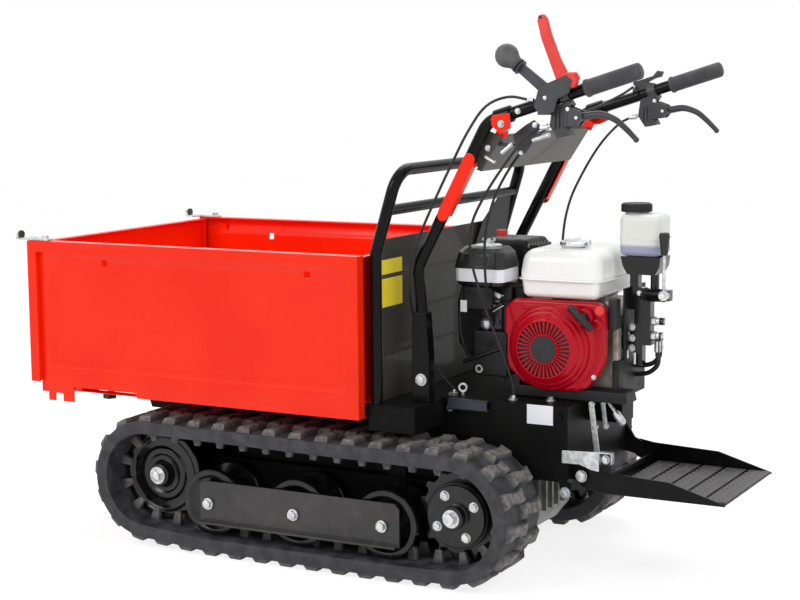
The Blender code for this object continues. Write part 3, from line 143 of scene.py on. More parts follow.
for name, where, size, watts in (("lamp_front", (-1.6, -3.4, 2.6), 2.2, 52.0),
                                 ("lamp_rear", (3.2, -1.8, 2.8), 2.0, 38.0),
                                 ("lamp_over", (-0.2, 1.2, 3.4), 3.0, 58.0)):
    light = bpy.data.lights.new(name, "AREA")
    light.shape = "DISK"
    light.size = size
    light.energy = watts
    lamp = bpy.data.objects.new(name, light)
    lamp.location = where
    lamp.rotation_euler = (Vector((0.0, 0.0, 0.5)) - lamp.location).to_track_quat("-Z", "Y").to_euler()
    lamp.visible_glossy = name != "lamp_rear"
    bpy.context.collection.objects.link(lamp)


# Dump box: folded and welded steel sheet in gloss red powder coat. The side walls slide out on bars
# under the floor, and the front wall swings on the floor's front edge. Edges are softened by the coat.


def finish(name, paint):
    """A material from a function of the place on the object, which gives the shader's sockets."""
    made = bpy.data.materials.new(name)
    made.use_nodes = True
    made.node_tree.nodes.clear()
    field = Field(made.node_tree)
    sockets = paint(field.node("TexCoord", output="Object"))
    relief = sockets.pop("relief", None)
    if relief:
        sockets["Normal"] = field.node("Bump", {"Height": relief[0], "Distance": relief[1]})
    field.node("OutputMaterial", {0: field.node("BsdfPrincipled", sockets)})
    return made


def powder_coat(light, dark, rough=0.22, peel=0.00012, haze=0.0, gleam=0.16):
    """Thick glossy coat: slow drift of colour, orange peel, and dust low on the machine."""
    def paint(place):
        drift = place.cloud(5.0, 3.0).step(0.3, 0.7)
        dusty = place.cloud(38.0, 5.0).step(0.45, 0.75) * (1.0 - place.part("Z").step(0.02, 0.45)) * haze
        return {"Base Color": dusty.mix(drift.mix(light, dark), (120, 116, 108)),
                "Roughness": rough + 0.07 * place.cloud(60.0, 4.0) + 0.4 * dusty,
                "Specular IOR Level": gleam, "Coat Weight": gleam * (1.0 - dusty), "Coat Roughness": 0.08,
                "relief": (place.cloud(420.0, 1.0), peel)}
    return paint


red_coat = finish("red_powder_coat", powder_coat((254, 46, 12), (248, 40, 9), 0.2))


class Shape:
    """Closed forms gathered into one mesh, each made by an operator and set in place."""

    def __init__(self):
        self.bm = bmesh.new()

    def take(self, part, edge=0.0, steps=2, crease=40.0):
        bmesh.ops.recalc_face_normals(part, faces=part.faces)
        if edge:
            sharp = [e for e in part.edges if len(e.link_faces) == 2
                     and e.calc_face_angle(0.0) > math.radians(crease)]
            bmesh.ops.bevel(part, geom=sharp, offset=edge, segments=steps, profile=0.5, affect="EDGES",
                            material=-1, clamp_overlap=True)
        mesh = bpy.data.meshes.new("part")
        part.to_mesh(mesh)
        part.free()
        self.bm.from_mesh(mesh)
        bpy.data.meshes.remove(mesh)
        return self

    def cad(self, node, edge):
        """A copy of a CAD node, merged, with its edges rounded."""
        part = bmesh.new()
        part.from_mesh(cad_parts[node].data)
        bmesh.ops.remove_doubles(part, verts=part.verts, dist=2e-5)
        bmesh.ops.dissolve_limit(part, angle_limit=math.radians(1.0), verts=part.verts, edges=part.edges)
        return self.take(part, edge)

    def block(self, xs, ys, zs, edge=0.001, steps=2):
        part = bmesh.new()
        spans = (xs, ys, zs)
        middle = Matrix.Translation([(a + b) / 2 for a, b in spans])
        bmesh.ops.create_cube(part, size=1.0, matrix=Matrix.Diagonal((*(abs(b - a) for a, b in spans), 1.0)))
        part.transform(middle)
        return self.take(part, edge, steps)

    def slab(self, outline, across, low, high, edge=0.001, steps=2):
        """A plate whose outline lies square to an axis."""
        order = {"x": lambda u, v, w: (w, u, v), "y": lambda u, v, w: (u, w, v),
                 "z": lambda u, v, w: (u, v, w)}
        part = bmesh.new()
        face = part.faces.new([part.verts.new(order[across](u, v, low)) for u, v in outline])
        grown = bmesh.ops.extrude_face_region(part, geom=[face])["geom"]
        bmesh.ops.translate(part, verts=[v for v in grown if isinstance(v, bmesh.types.BMVert)],
                            vec=order[across](0, 0, high - low))
        return self.take(part, edge, steps)

    def turned(self, profile, centre, axis, steps=48, edge=0.0):
        """A lathe shape from (along, radius) points; a ring when the first radius isn't 0."""
        part = bmesh.new()
        points = [part.verts.new((r, 0.0, a)) for a, r in profile]
        lines = [part.edges.new(pair) for pair in zip(points, points[1:])]
        if profile[0][1] > 0:
            lines.append(part.edges.new((points[-1], points[0])))
        bmesh.ops.spin(part, geom=points + lines, cent=(0, 0, 0), axis=(0, 0, 1), angle=2 * math.pi,
                       steps=steps, use_merge=True)
        bmesh.ops.remove_doubles(part, verts=part.verts, dist=1e-6)
        turn = Vector(axis).to_track_quat("Z", "Y").to_matrix().to_4x4()
        part.transform(Matrix.Translation(centre) @ turn)
        return self.take(part, edge, crease=50.0)

    def bar(self, start, end, radius, sides=32, edge=0.0006):
        """A round bar between two points, or a hexagon with six sides."""
        start, end = Vector(start), Vector(end)
        part = bmesh.new()
        bmesh.ops.create_cone(part, cap_ends=True, segments=sides, radius1=radius, radius2=radius,
                              depth=(end - start).length)
        turn = (end - start).to_track_quat("Z", "Y").to_matrix().to_4x4()
        part.transform(Matrix.Translation((start + end) / 2) @ turn)
        return self.take(part, edge, 2, 50.0)

    def tube(self, points, radius, radii=None, fineness=6):
        """A round tube along a line, thicker or thinner where radii says."""
        curve = bpy.data.curves.new("run", "CURVE")
        curve.dimensions = "3D"
        curve.bevel_depth = radius
        curve.bevel_resolution = fineness
        curve.use_fill_caps = True
        spline = curve.splines.new("POLY")
        spline.points.add(len(points) - 1)
        for i, where in enumerate(points):
            spline.points[i].co = (*where, 1.0)
            spline.points[i].radius = radii[i] if radii else 1.0
        drawn = bpy.data.objects.new("run", curve)
        bpy.context.collection.objects.link(drawn)
        part = bmesh.new()
        mesh = bpy.data.meshes.new_from_object(drawn.evaluated_get(bpy.context.evaluated_depsgraph_get()))
        part.from_mesh(mesh)
        bpy.data.objects.remove(drawn)
        bpy.data.meshes.remove(mesh)
        bmesh.ops.remove_doubles(part, verts=part.verts, dist=1e-6)
        return self.take(part)

    def bolt(self, centre, axis, across, tall, washer=0.0):
        """A hexagon head, chamfered, on a round washer."""
        centre, axis = Vector(centre), Vector(axis).normalized()
        lift = 0.0
        if washer:
            lift = 0.0022
            self.bar(centre - axis * 0.001, centre + axis * lift, washer, 32, 0.0004)
        self.bar(centre, centre + axis * (lift + tall), across / 2, 6, across * 0.05)
        crown = [(0.0, 0.0), (0.0, across * 0.4), (across * 0.04, across * 0.34), (across * 0.05, 0.0)]
        return self.turned(crown, centre + axis * (lift + tall - 0.0002), axis, 24)


def piece(name, shape, material, *nodes, body="machine"):
    """Finish a shape as one named piece that rides on a body and stands for CAD nodes."""
    bmesh.ops.remove_doubles(shape.bm, verts=shape.bm.verts, dist=1e-6)
    mesh = bpy.data.meshes.new(name)
    shape.bm.to_mesh(mesh)
    shape.bm.free()
    mesh.shade_smooth()
    mesh.set_sharp_from_angle(angle=math.radians(38.0))
    mesh.materials.append(material)
    made = bpy.data.objects.new(name, mesh)
    bpy.context.collection.objects.link(made)
    even = made.modifiers.new("even_normals", "WEIGHTED_NORMAL")
    even.keep_sharp = True
    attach(made, body)
    if nodes:
        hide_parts(*nodes)


SIDES = (("left", -1), ("right", 1))
LEFT, UP = Vector((0, -1, 0)), Vector((0, 0, 1))
piece("floor_and_rear_wall", Shape().cad("box_floor", 0.0007), red_coat, "box_floor", body="dump_box")
piece("gate_of_folded_sheet", Shape().cad("front_gate", 0.0007), red_coat, "front_gate", body="front_gate")
for name, side in SIDES:
    wall = "side_panel_" + name
    piece("folded_wall_" + name, Shape().cad(wall, 0.0009), red_coat, wall, body=wall)


# Gate latches: zinc-plated straps on a bolt at the box's top front corners, each with a dark pointed
# stop at its tip. Under the front corners a star knob clamps each slide bar.

def plated(light, dark, rough=0.3):
    """Zinc plate: slightly cloudy, with fine spangle and dull spots."""
    def paint(place):
        cloudy = place.cloud(90.0, 4.0)
        return {"Base Color": cloudy.step(0.35, 0.65).mix(light, dark), "Metallic": 0.92,
                "Roughness": rough + 0.22 * cloudy, "relief": (place.cloud(900.0, 2.0), 0.00004)}
    return paint


def moulded(light, dark, rough=0.42, grain=0.00006):
    """Moulded plastic with a fine spark-eroded grain."""
    def paint(place):
        return {"Base Color": place.cloud(24.0, 3.0).step(0.3, 0.7).mix(light, dark),
                "Roughness": rough + 0.12 * place.cloud(160.0, 3.0),
                "relief": (place.cloud(1500.0, 2.0), grain)}
    return paint


zinc = finish("zinc_plate_finish", plated((226, 226, 222), (186, 190, 196)))
black_plastic = finish("black_moulding", moulded((26, 26, 28), (19, 19, 21)))
for name, side in SIDES:
    latch, knob = "gate_latch_" + name, "slide_knob_" + name
    strap = Shape().cad(latch, 0.0008)
    strap.bolt((-0.79, side * 0.371, 0.7365), UP, 0.0165, 0.006, 0.0095)
    piece("latch_strap_" + name, strap, zinc, latch, body=latch)
    tip = [(0.0, 0.0), (0.0, 0.0095), (0.004, 0.0105), (0.011, 0.007), (0.019, 0.002), (0.0195, 0.0)]
    piece("latch_stop_" + name, Shape().turned(tip, (-0.868, side * 0.363, 0.744), (-1, 0, 0), 28),
          black_plastic, body=latch)
    piece("star_knob_" + name, Shape().cad(knob, 0.0012), black_plastic, knob, body=knob)


# Rubber tracks: a thick endless moulded band over the wheels, with two staggered rows of low lugs
# outside and two rows of drive horns inside. The lug tops are scuffed lighter than the band.

IDLER, SPROCKET = (-0.49, 0.168), (0.322, 0.16)
ROLLER_X, ROLLER_Z = (-0.32, -0.084, 0.149), 0.1241
TRACK_Y, BAND_HALF, BAND_THICK, LUG_TALL, HORN_TALL, LUGS = 0.31, 0.09, 0.031, 0.013, 0.028, 36


def touch_angle(centre, radius, point, side):
    """Where on a wheel the line to an outside point touches it."""
    dx, dz = point[0] - centre[0], point[1] - centre[1]
    return (math.atan2(dz, dx) + side * math.acos(radius / math.hypot(dx, dz))) % (2 * math.pi)


def track_line(offset, steps=30):
    """The track's run, so far outside its inner face, as (x, z) points."""
    radius = 0.112 + offset
    low = BAND_THICK + LUG_TALL + 0.0003 - offset
    top = math.atan2(SPROCKET[0] - IDLER[0], IDLER[1] - SPROCKET[1])
    front, rear = (ROLLER_X[0], low), (ROLLER_X[-1], low)
    line = []
    for centre, first, last in ((IDLER, top, touch_angle(IDLER, radius, front, -1)),
                                (SPROCKET, touch_angle(SPROCKET, radius, rear, 1), top + 2 * math.pi)):
        for i in range(steps + 1):
            angle = first + (last - first) * i / steps
            line.append((centre[0] + radius * math.cos(angle), centre[1] + radius * math.sin(angle)))
        if centre is IDLER:
            line += [front, rear]
    return line


def on_track(offset, share):
    """A matrix that stands a lug on the track's run, part of the way round."""
    line = track_line(offset)
    line.append(line[0])
    spans = [math.dist(a, b) for a, b in zip(line, line[1:])]
    distance = (share % 1.0) * sum(spans)
    for (x0, z0), (x1, z1), span in zip(line, line[1:], spans):
        if distance <= span:
            break
        distance -= span
    along = Vector((x1 - x0, 0, z1 - z0)).normalized()
    out = Vector((along.z, 0, -along.x))
    spot = Vector((x0, 0, z0)) + along * distance
    turn = Matrix((along, (0, 1, 0), out)).transposed().to_4x4()
    return Matrix.Translation(spot) @ turn


def lug(y0, y1, tall, foot, crest, flare, edge, slope=0.01):
    """One lug lying along y, wider at its ends than in the middle, with a shorter and narrower crest."""
    part = bmesh.new()
    worn = part.verts.layers.float.new("worn")
    bmesh.ops.create_grid(part, x_segments=2, y_segments=6, size=0.5)
    base = list(part.faces)
    grown = bmesh.ops.extrude_face_region(part, geom=base, use_keep_orig=True)["geom"]
    top = [v for v in grown if isinstance(v, bmesh.types.BMVert)]
    for v in part.verts:
        raised = v in top
        t = v.co.y + 0.5
        swell = 1.0 + flare * abs(2 * t - 1.0) ** 2
        skew = flare * 0.01 * math.sin(2 * math.pi * t)
        inset = slope if raised else 0.0
        v.co.y = y0 + inset + (y1 - y0 - 2 * inset) * t
        v.co.x = v.co.x * 2 * (crest if raised else foot) * swell + skew
        v.co.z = tall if raised else -0.004
        v[worn] = 1.0 if raised else 0.0
    sharp = [e for e in part.edges if e.calc_face_angle(0.0) > math.radians(30)]
    bmesh.ops.recalc_face_normals(part, faces=part.faces)
    bmesh.ops.bevel(part, geom=sharp, offset=edge, segments=2, profile=0.5, affect="EDGES", material=-1,
                    clamp_overlap=True)
    return part


def track_rubber(place):
    """Dark grey rubber with mould grain; dust lies on the crests and in patches on the band."""
    worn = place.node("Attribute", output="Fac", attribute_name="worn")
    patch = place.cloud(30.0, 6.0).step(0.32, 0.72)
    scuff = worn * (0.3 + 0.7 * place.cloud(80.0, 5.0).step(0.34, 0.62))
    dull = patch.mix((34, 34, 38), (72, 71, 74))
    return {"Base Color": (scuff * 0.85).mix(dull, (134, 130, 128)),
            "Roughness": 0.62 + 0.2 * patch, "relief": (place.cloud(330.0, 6.0), 0.0004)}


rubber = finish("track_rubber_finish", track_rubber)
for name, side in SIDES:
    middle = side * TRACK_Y
    band = bmesh.new()
    band.verts.layers.float.new("worn")
    loops = []
    for offset in (0.0, BAND_THICK):
        ring = [band.verts.new((x, middle - BAND_HALF, z)) for x, z in track_line(offset)]
        loops += [band.edges.new((a, b)) for a, b in zip(ring, ring[1:] + ring[:1])]
    wall = bmesh.ops.bridge_loops(band, edges=loops)["faces"]
    grown = bmesh.ops.extrude_face_region(band, geom=wall)["geom"]
    bmesh.ops.translate(band, verts=[v for v in grown if isinstance(v, bmesh.types.BMVert)],
                        vec=(0, 2 * BAND_HALF, 0))
    track = Shape().take(band, 0.0035, 2, 60.0)
    for i in range(LUGS):
        for shift, y0, y1 in ((0.0, -BAND_HALF + 0.0025, 0.014), (0.5, -0.014, BAND_HALF - 0.0025)):
            block = lug(middle + y0, middle + y1, LUG_TALL, 0.015, 0.011, 0.3, 0.0022)
            block.transform(on_track(BAND_THICK, (i + shift) / LUGS))
            track.take(block)
        for near, far in ((-0.033, -0.017), (0.017, 0.033)):
            horn = lug(middle + near, middle + far, HORN_TALL, 0.013, 0.007, 0.0, 0.002, 0.004)
            horn.transform(on_track(0.0, (i + 0.25) / LUGS) @ Matrix.Diagonal((1, 1, -1, 1)))
            track.take(horn)
    piece("moulded_track_" + name, track, rubber, "track_belt_" + name)


# Track wheels: pressed steel in gloss black. The sprocket's toothed disc and the idler's rim run between
# the rows of horns, on a drum with a bolted flange and on a long hub. A roller is two dished discs.

def mirrored(*outer):
    """A wheel's or a ring's full section from its outboard half."""
    return [(-along, r) for along, r in reversed(outer)] + list(outer)


gloss_black = finish("gloss_black_paint",
                     powder_coat((13, 13, 14), (9, 9, 10), 0.16, 0.00008, 0.1, 0.3))


for name, side in SIDES:
    out = Vector((0, side, 0))
    hub = Vector((SPROCKET[0], 0, SPROCKET[1]))
    teeth, tip, root = 15, 0.1058, 0.0935
    rim = []
    for i in range(teeth):
        for share, r in ((-0.33, root), (-0.24, root + 0.003), (-0.16, tip - 0.002), (-0.1, tip), (0.1, tip),
                         (0.16, tip - 0.002), (0.24, root + 0.003), (0.33, root)):
            turn = (i + share) * 2 * math.pi / teeth
            rim.append((hub.x + r * math.cos(turn), hub.z + r * math.sin(turn)))
    wheel = Shape().slab(rim, "y", side * (TRACK_Y - 0.013), side * (TRACK_Y + 0.013), 0.0014)
    wheel.bar(hub + out * 0.155, hub + out * 0.27, 0.0143)
    section = [(0.262, 0.0), (0.262, 0.0435), (0.2635, 0.045), (0.312, 0.045), (0.312, 0.076),
               (0.3415, 0.076), (0.343, 0.0745), (0.343, 0.071), (0.3505, 0.071), (0.352, 0.0695),
               (0.352, 0.03), (0.3535, 0.0272), (0.373, 0.0272), (0.3742, 0.026), (0.3742, 0.0)]
    wheel.turned(section, hub, out, 64)
    piece("drive_wheel_" + name, wheel, gloss_black, "sprocket_" + name, body="sprocket_" + name)
    fixings = Shape()
    for i in range(4):
        turn = math.radians(30 + 90 * i)
        spoke = Vector((math.cos(turn), 0, math.sin(turn))) * 0.052
        fixings.bolt(hub + spoke + out * 0.3515, out, 0.019, 0.0065, 0.0115)
    fixings.bolt(hub + out * 0.374, out, 0.028, 0.0125, 0.0205)
    piece("drive_wheel_bolts_" + name, fixings, zinc, body="sprocket_" + name)

    section = [(0.012, 0.11), (0.0135, 0.1085), (0.0135, 0.0985), (0.0125, 0.0955), (0.007, 0.09),
               (0.005, 0.0865), (0.005, 0.069), (0.006, 0.0662), (0.0098, 0.0632), (0.011, 0.0608),
               (0.011, 0.0512), (0.01, 0.0488), (0.007, 0.0452), (0.006, 0.043), (0.006, 0.0352),
               (0.0072, 0.033), (0.0255, 0.0284), (0.0282, 0.0274), (0.0296, 0.0262), (0.03, 0.0248),
               (0.03, 0.0125)]
    wheel = Shape().turned(mirrored(*section), (IDLER[0], side * TRACK_Y, IDLER[1]), out, 72)
    piece("front_idler_" + name, wheel, gloss_black, "idler_" + name, body="idler_" + name)
    for i, x in enumerate(ROLLER_X, 1):
        section = [(0.036, 0.026), (0.036, 0.0775), (0.0375, 0.0792), (0.0505, 0.0792), (0.052, 0.0778),
                   (0.0535, 0.068), (0.0515, 0.064), (0.046, 0.06), (0.0445, 0.055), (0.044, 0.03),
                   (0.0465, 0.0255), (0.054, 0.022), (0.054, 0.0095)]
        wheel = Shape().turned(mirrored(*section), (x, side * TRACK_Y, ROLLER_Z), out, 56)
        node = f"roller_{name}_{i}"
        piece("turned_" + node, wheel, gloss_black, node, body=node)


# Track frames: a folded beam inboard of the wheels, with sheet over it, carries their pins, and a plate
# outboard ties the roller pins together. Satin black paint that catches dust, with zinc-plated bolts.

def satin_paint(place):
    """Thin satin black: fine texture, patchy tone, and dust that thickens towards the ground."""
    fine = place.cloud(700.0, 2.0)
    patch = place.cloud(9.0, 4.0)
    dusty = place.cloud(55.0, 6.0).step(0.5, 0.8) * (1.0 - place.part("Z").step(0.05, 0.5)) * 0.06
    base = patch.step(0.3, 0.7).mix((15, 15, 15), (20, 20, 19))
    return {"Base Color": dusty.mix(base, (96, 92, 84)), "Roughness": 0.34 + 0.12 * patch + 0.25 * dusty,
            "Specular IOR Level": 0.08, "relief": (fine, 0.00005)}


satin_black = finish("satin_black_paint", satin_paint)
plate_black = finish("tie_plate_paint",
                     powder_coat((60, 58, 58), (44, 43, 43), 0.26, 0.0001, 0.15, 0.3))
for name, side in SIDES:
    beam, plate = "track_frame_" + name, "roller_plate_" + name
    rail = Shape().cad(beam, 0.001)
    rail.block((-0.5, 0.285), (side * 0.2075, side * 0.2105), (0.15, 0.262), 0.001)
    rail.block((0.15, 0.262), (side * 0.2075, side * 0.2105), (0.03, 0.1505), 0.001)
    piece("folded_beam_" + name, rail, satin_black, beam)
    piece("tie_plate_" + name, Shape().cad(plate, 0.0008), plate_black, plate)
    fixings = Shape()
    for x in ROLLER_X:
        fixings.bolt((x, side * 0.3782, ROLLER_Z), (0, side, 0), 0.0225, 0.0085, 0.014)
    fixings.bar((IDLER[0], side * 0.3403, IDLER[1]), (IDLER[0], side * 0.346, IDLER[1]), 0.0215, 36)
    fixings.bolt((IDLER[0], side * 0.3455, IDLER[1]), (0, side, 0), 0.029, 0.0115)
    piece("track_bolts_" + name, fixings, zinc)


# Chassis: welded rails, cross members and engine bed in satin black, with the finned alloy gearbox
# under the bed. On it are zinc-plated bolts and brackets, and a bare white plate on the bed's side.

def cast_metal(light, dark, rough=0.42):
    """Sand-cast alloy: pebbly skin, darker where oil and dirt sit."""
    def paint(place):
        dirt = place.cloud(30.0, 5.0).step(0.45, 0.8)
        return {"Base Color": dirt.mix(light, dark), "Metallic": 0.75, "Roughness": rough + 0.2 * dirt,
                "relief": (place.cloud(600.0, 4.0), 0.00022)}
    return paint


cast_alloy = finish("cast_alloy_finish", cast_metal((176, 172, 162), (108, 104, 96)))
grey_casting = finish("gearbox_casting", cast_metal((122, 122, 118), (74, 72, 68)))
piece("welded_rails", Shape().cad("chassis_frame", 0.001), satin_black, "chassis_frame")
bed = Shape().cad("engine_bed", 0.001)
bed.slab([(0.503, 0.227), (0.536, 0.227), (0.533, 0.196), (0.52, 0.188), (0.507, 0.196)],
         "y", -0.1995, -0.1965)
piece("bed_of_plate", bed, satin_black, "engine_bed")
piece("finned_gearbox", Shape().cad("gearbox", 0.0014), grey_casting, "gearbox")
fixings = Shape()
for side in (-1, 1):
    fixings.bolt((-0.64, side * 0.1762, 0.335), (0, side, 0), 0.0265, 0.002)
    fixings.bolt((0.552, side * 0.1888, 0.24), (0, side, 0), 0.0245, 0.0015, 0.0)
    fixings.bolt((0.236, side * 0.2055, 0.372), (0, side, 0), 0.018, 0.0025)
fixings.bolt((0.5195, -0.199, 0.2023), LEFT, 0.015, 0.0075, 0.0125)
fixings.bolt((0.3755, -0.165, 0.396), UP, 0.015, 0.006, 0.011)
fixings.bolt((0.4589, -0.142, 0.396), UP, 0.015, 0.007, 0.011)
fixings.bolt((-0.21, -0.154, 0.32), LEFT, 0.018, 0.007, 0.011)
piece("chassis_bolts", fixings, zinc)

label_white = finish("label_white", moulded((248, 249, 254), (240, 242, 250), 0.35, 0.00001))
plate = Shape().block((0.4266, 0.4898), (-0.201, -0.1998), (0.352, 0.396), 0.0003, 1)
piece("bare_rating_plate", plate, label_white)


# Control rods and brackets on the engine bed: flat zinc-plated strips with ball ends come down from
# the engine to a folded bracket beside the step's hinge, and eye bolts anchor the cables.

def oblong(start, end, half, steps=8):
    """A strip with round ends, as an outline."""
    turn = math.atan2(end[1] - start[1], end[0] - start[0])
    return [(u + half * math.cos(turn + angle), v + half * math.sin(turn + angle))
            for (u, v), first in ((end, -90), (start, 90))
            for angle in (math.radians(first + 180 * i / steps) for i in range(steps + 1))]


rods = Shape()
rods.slab(oblong((0.551, 0.392), (0.568, 0.262), 0.0065), "y", -0.127, -0.1235, 0.0006)
rods.slab(oblong((0.566, 0.392), (0.573, 0.338), 0.0052), "y", -0.095, -0.092, 0.0006)
for where in ((0.551, -0.1235, 0.392), (0.56, -0.1235, 0.34), (0.573, -0.092, 0.338), (0.566, -0.092, 0.392)):
    rods.bolt(where, LEFT, 0.011, 0.005, 0.007)
    rods.turned([(-0.014, 0.0), (-0.014, 0.0035), (0.0, 0.0035), (0.0, 0.0)], where, LEFT, 16)
rods.bar((0.567, -0.08, 0.4), (0.612, -0.08, 0.343), 0.0042, 20)
rods.turned([(-0.016, 0.0), (-0.016, 0.0075), (-0.01, 0.0095), (0.012, 0.0095), (0.018, 0.006), (0.018, 0.0)],
            (0.6, -0.08, 0.358), (0.045, 0, -0.057), 20)
bracket = [(0.5125, 0.2702), (0.5125, 0.2989), (0.6005, 0.3027),
           (0.6008, 0.2588), (0.5839, 0.261), (0.5539, 0.2709)]
rods.slab(bracket, "y", -0.2035, -0.2008, 0.0008)
rods.block((0.599, 0.631), (-0.2035, -0.187), (0.3003, 0.303), 0.0008)
rods.block((0.6284, 0.631), (-0.2035, -0.187), (0.2774, 0.303), 0.0008)
rods.bolt((0.6122, -0.1895, 0.285), LEFT, 0.016, 0.007, 0.01)
rods.turned(mirrored((0.003, 0.0105), (0.003, 0.0065)), (0.25, -0.166, 0.4145), (0.35, -0.9, 0.1), 28)
rods.bar((0.25, -0.166, 0.396), (0.25, -0.166, 0.405), 0.004, 16)
rods.block((0.222, 0.237), (-0.186, -0.166), (0.3955, 0.403), 0.001)
rods.slab(oblong((0.35, 0.4), (0.35, 0.428), 0.0045), "y", -0.0795, -0.0765, 0.0005)
piece("control_rods", rods, zinc)

grey_steel = finish("grey_channel",
                    powder_coat((74, 74, 84), (60, 60, 70), 0.35, 0.00006, 0.2))
channel = Shape().block((0.233, 0.332), (-0.212, -0.1995), (0.37, 0.3735), 0.0008)
channel.block((0.233, 0.332), (-0.212, -0.2095), (0.37, 0.395), 0.0008)
channel.block((0.233, 0.332), (-0.212, -0.1995), (0.3925, 0.3955), 0.0008)
channel.block((0.5995, 0.63), (-0.19, -0.1872), (0.272, 0.302), 0.0008)
piece("bed_channel", channel, grey_steel)


# Tipping ram: a black steel barrel on a pin in the chassis, with a bright chromed rod that pushes the
# floor's lugs. It lies between the rails.

ram_foot, ram_eye = Vector((0.04, 0, 0.27)), Vector((-0.42, 0, 0.375))
stroke = (ram_eye - ram_foot).normalized()
reach = (ram_eye - ram_foot).length
barrel = Shape().turned([(0.345, 0.0137), (0.345, 0.02), (0.3435, 0.021), (0.337, 0.021), (0.335, 0.0245),
                         (0.3335, 0.026), (0.028, 0.026), (0.026, 0.0245), (0.026, 0.0137)],
                        ram_foot, stroke, 48)
barrel.turned(mirrored((0.0115, 0.02), (0.0125, 0.019), (0.0125, 0.0087)), ram_foot, (0, 1, 0), 40)
barrel.block((0.01, 0.032), (-0.011, 0.011), (0.262, 0.286), 0.002)
barrel.bar(ram_foot + stroke * 0.055, ram_foot + stroke * 0.055 + Vector((0, 0.02, 0.034)), 0.0085, 6)
piece("ram_cylinder", barrel, gloss_black, "ram_barrel", body="ram_barrel")
chrome = finish("bright_chrome", plated((236, 236, 238), (222, 224, 228), 0.1))
rod = Shape().turned([(0.07, 0.0), (0.07, 0.013), (reach - 0.012, 0.013), (reach - 0.012, 0.0)],
                     ram_foot, stroke, 40)
rod.turned(mirrored((0.009, 0.0165), (0.01, 0.0155), (0.01, 0.0)), ram_eye, (0, 1, 0), 40)
piece("ram_piston_rod", rod, chrome, "ram_rod", body="ram_rod")


# Hand guard: one bent tube with a rung, in gloss black, and satin sheet welded between its posts, with
# a black plate on the sheet by the right post. A bare yellow patch stands on the sheet beside the left post.

def bent(points, radius, steps=12):
    """A line whose corners are rounded to a bend radius."""
    points = [Vector(p) for p in points]
    line = [points[0]]
    for before, corner, after in zip(points, points[1:], points[2:]):
        back, ahead = (before - corner).normalized(), (after - corner).normalized()
        turn = math.pi - back.angle(ahead)
        centre = corner + (back + ahead).normalized() * radius / math.cos(turn / 2)
        reach = radius * math.tan(turn / 2)
        first, last = corner + back * reach - centre, corner + ahead * reach - centre
        for i in range(steps + 1):
            share = i / steps
            line.append(centre + (first * math.sin((1 - share) * turn) + last * math.sin(share * turn))
                        / math.sin(turn))
    return line + [points[-1]]


tube_black = finish("gloss_tube_paint",
                    powder_coat((12, 12, 13), (9, 9, 10), 0.2, 0.00008, 0.04, 0.1))
sheet_black = finish("satin_sheet_paint",
                     powder_coat((64, 62, 56), (52, 50, 46), 0.42, 0.0001, 0.1))
beam_top, guard_x, guard_y, bar_r = 0.3953, 0.118, 0.336, 0.0135
guard_lean, bend_z = 0.307, 0.734
hoop_x, rung_x = guard_x + 0.188 * guard_lean, guard_x + 0.098 * guard_lean
corners = [(guard_x, -guard_y, beam_top), (guard_x, -guard_y, bend_z), (hoop_x, -guard_y, 0.922),
           (hoop_x, guard_y, 0.922), (guard_x, guard_y, bend_z), (guard_x, guard_y, beam_top)]
hoop = Shape().tube(bent(corners, 0.05), bar_r, fineness=10)
hoop.tube([(rung_x, -guard_y, 0.832), (rung_x, guard_y, 0.832)], 0.012, fineness=10)
piece("guard_hoop", hoop, tube_black, "guard_frame")
panel = Shape().block((guard_x - 0.0015, guard_x + 0.0015), (-0.329, 0.329), (0.3956, 0.764), 0.0008)
for z in (0.504, 0.592, 0.68):
    panel.block((guard_x + 0.001, guard_x + 0.0045), (-0.32, 0.32), (z - 0.002, z + 0.002), 0.0016, 3)
piece("guard_sheet", panel, sheet_black, "guard_frame")
yellow = finish("yellow_film", moulded((255, 232, 44), (252, 224, 38), 0.3, 0.00001))
patch = Shape().block((guard_x + 0.0012, guard_x + 0.0022), (-0.328, -0.215), (0.6095, 0.6745), 0.0003, 1)
patch.block((guard_x + 0.0012, guard_x + 0.0022), (-0.328, -0.215), (0.684, 0.717), 0.0003, 1)
piece("bare_yellow_patch", patch, yellow)
# A black plate on the sheet by the right post; above the bend it leans with the hoop.
corner_plate = Shape().slab([(0.15, 0.69), (0.19, 0.764), (0.25, 0.826), (0.33, 0.834), (0.33, 0.69)], "x",
                      guard_x + 0.0012, guard_x + 0.0042, 0.0008)
for v in corner_plate.bm.verts:
    v.co.x += guard_lean * max(0.0, v.co.z - bend_z)
piece("guard_corner_black_plate", corner_plate, tube_black)


# Handlebars: tube legs bolted to the cross beam, bent back to the grips. Red oblong shields cover
# their outer sides below the bend, and a red folded clamp sits on each bar behind it.

BAR_RISE = 0.3064


def bar_height(x):
    """Height of a handlebar's upper run."""
    return 1.045 + (x - 0.416) * BAR_RISE


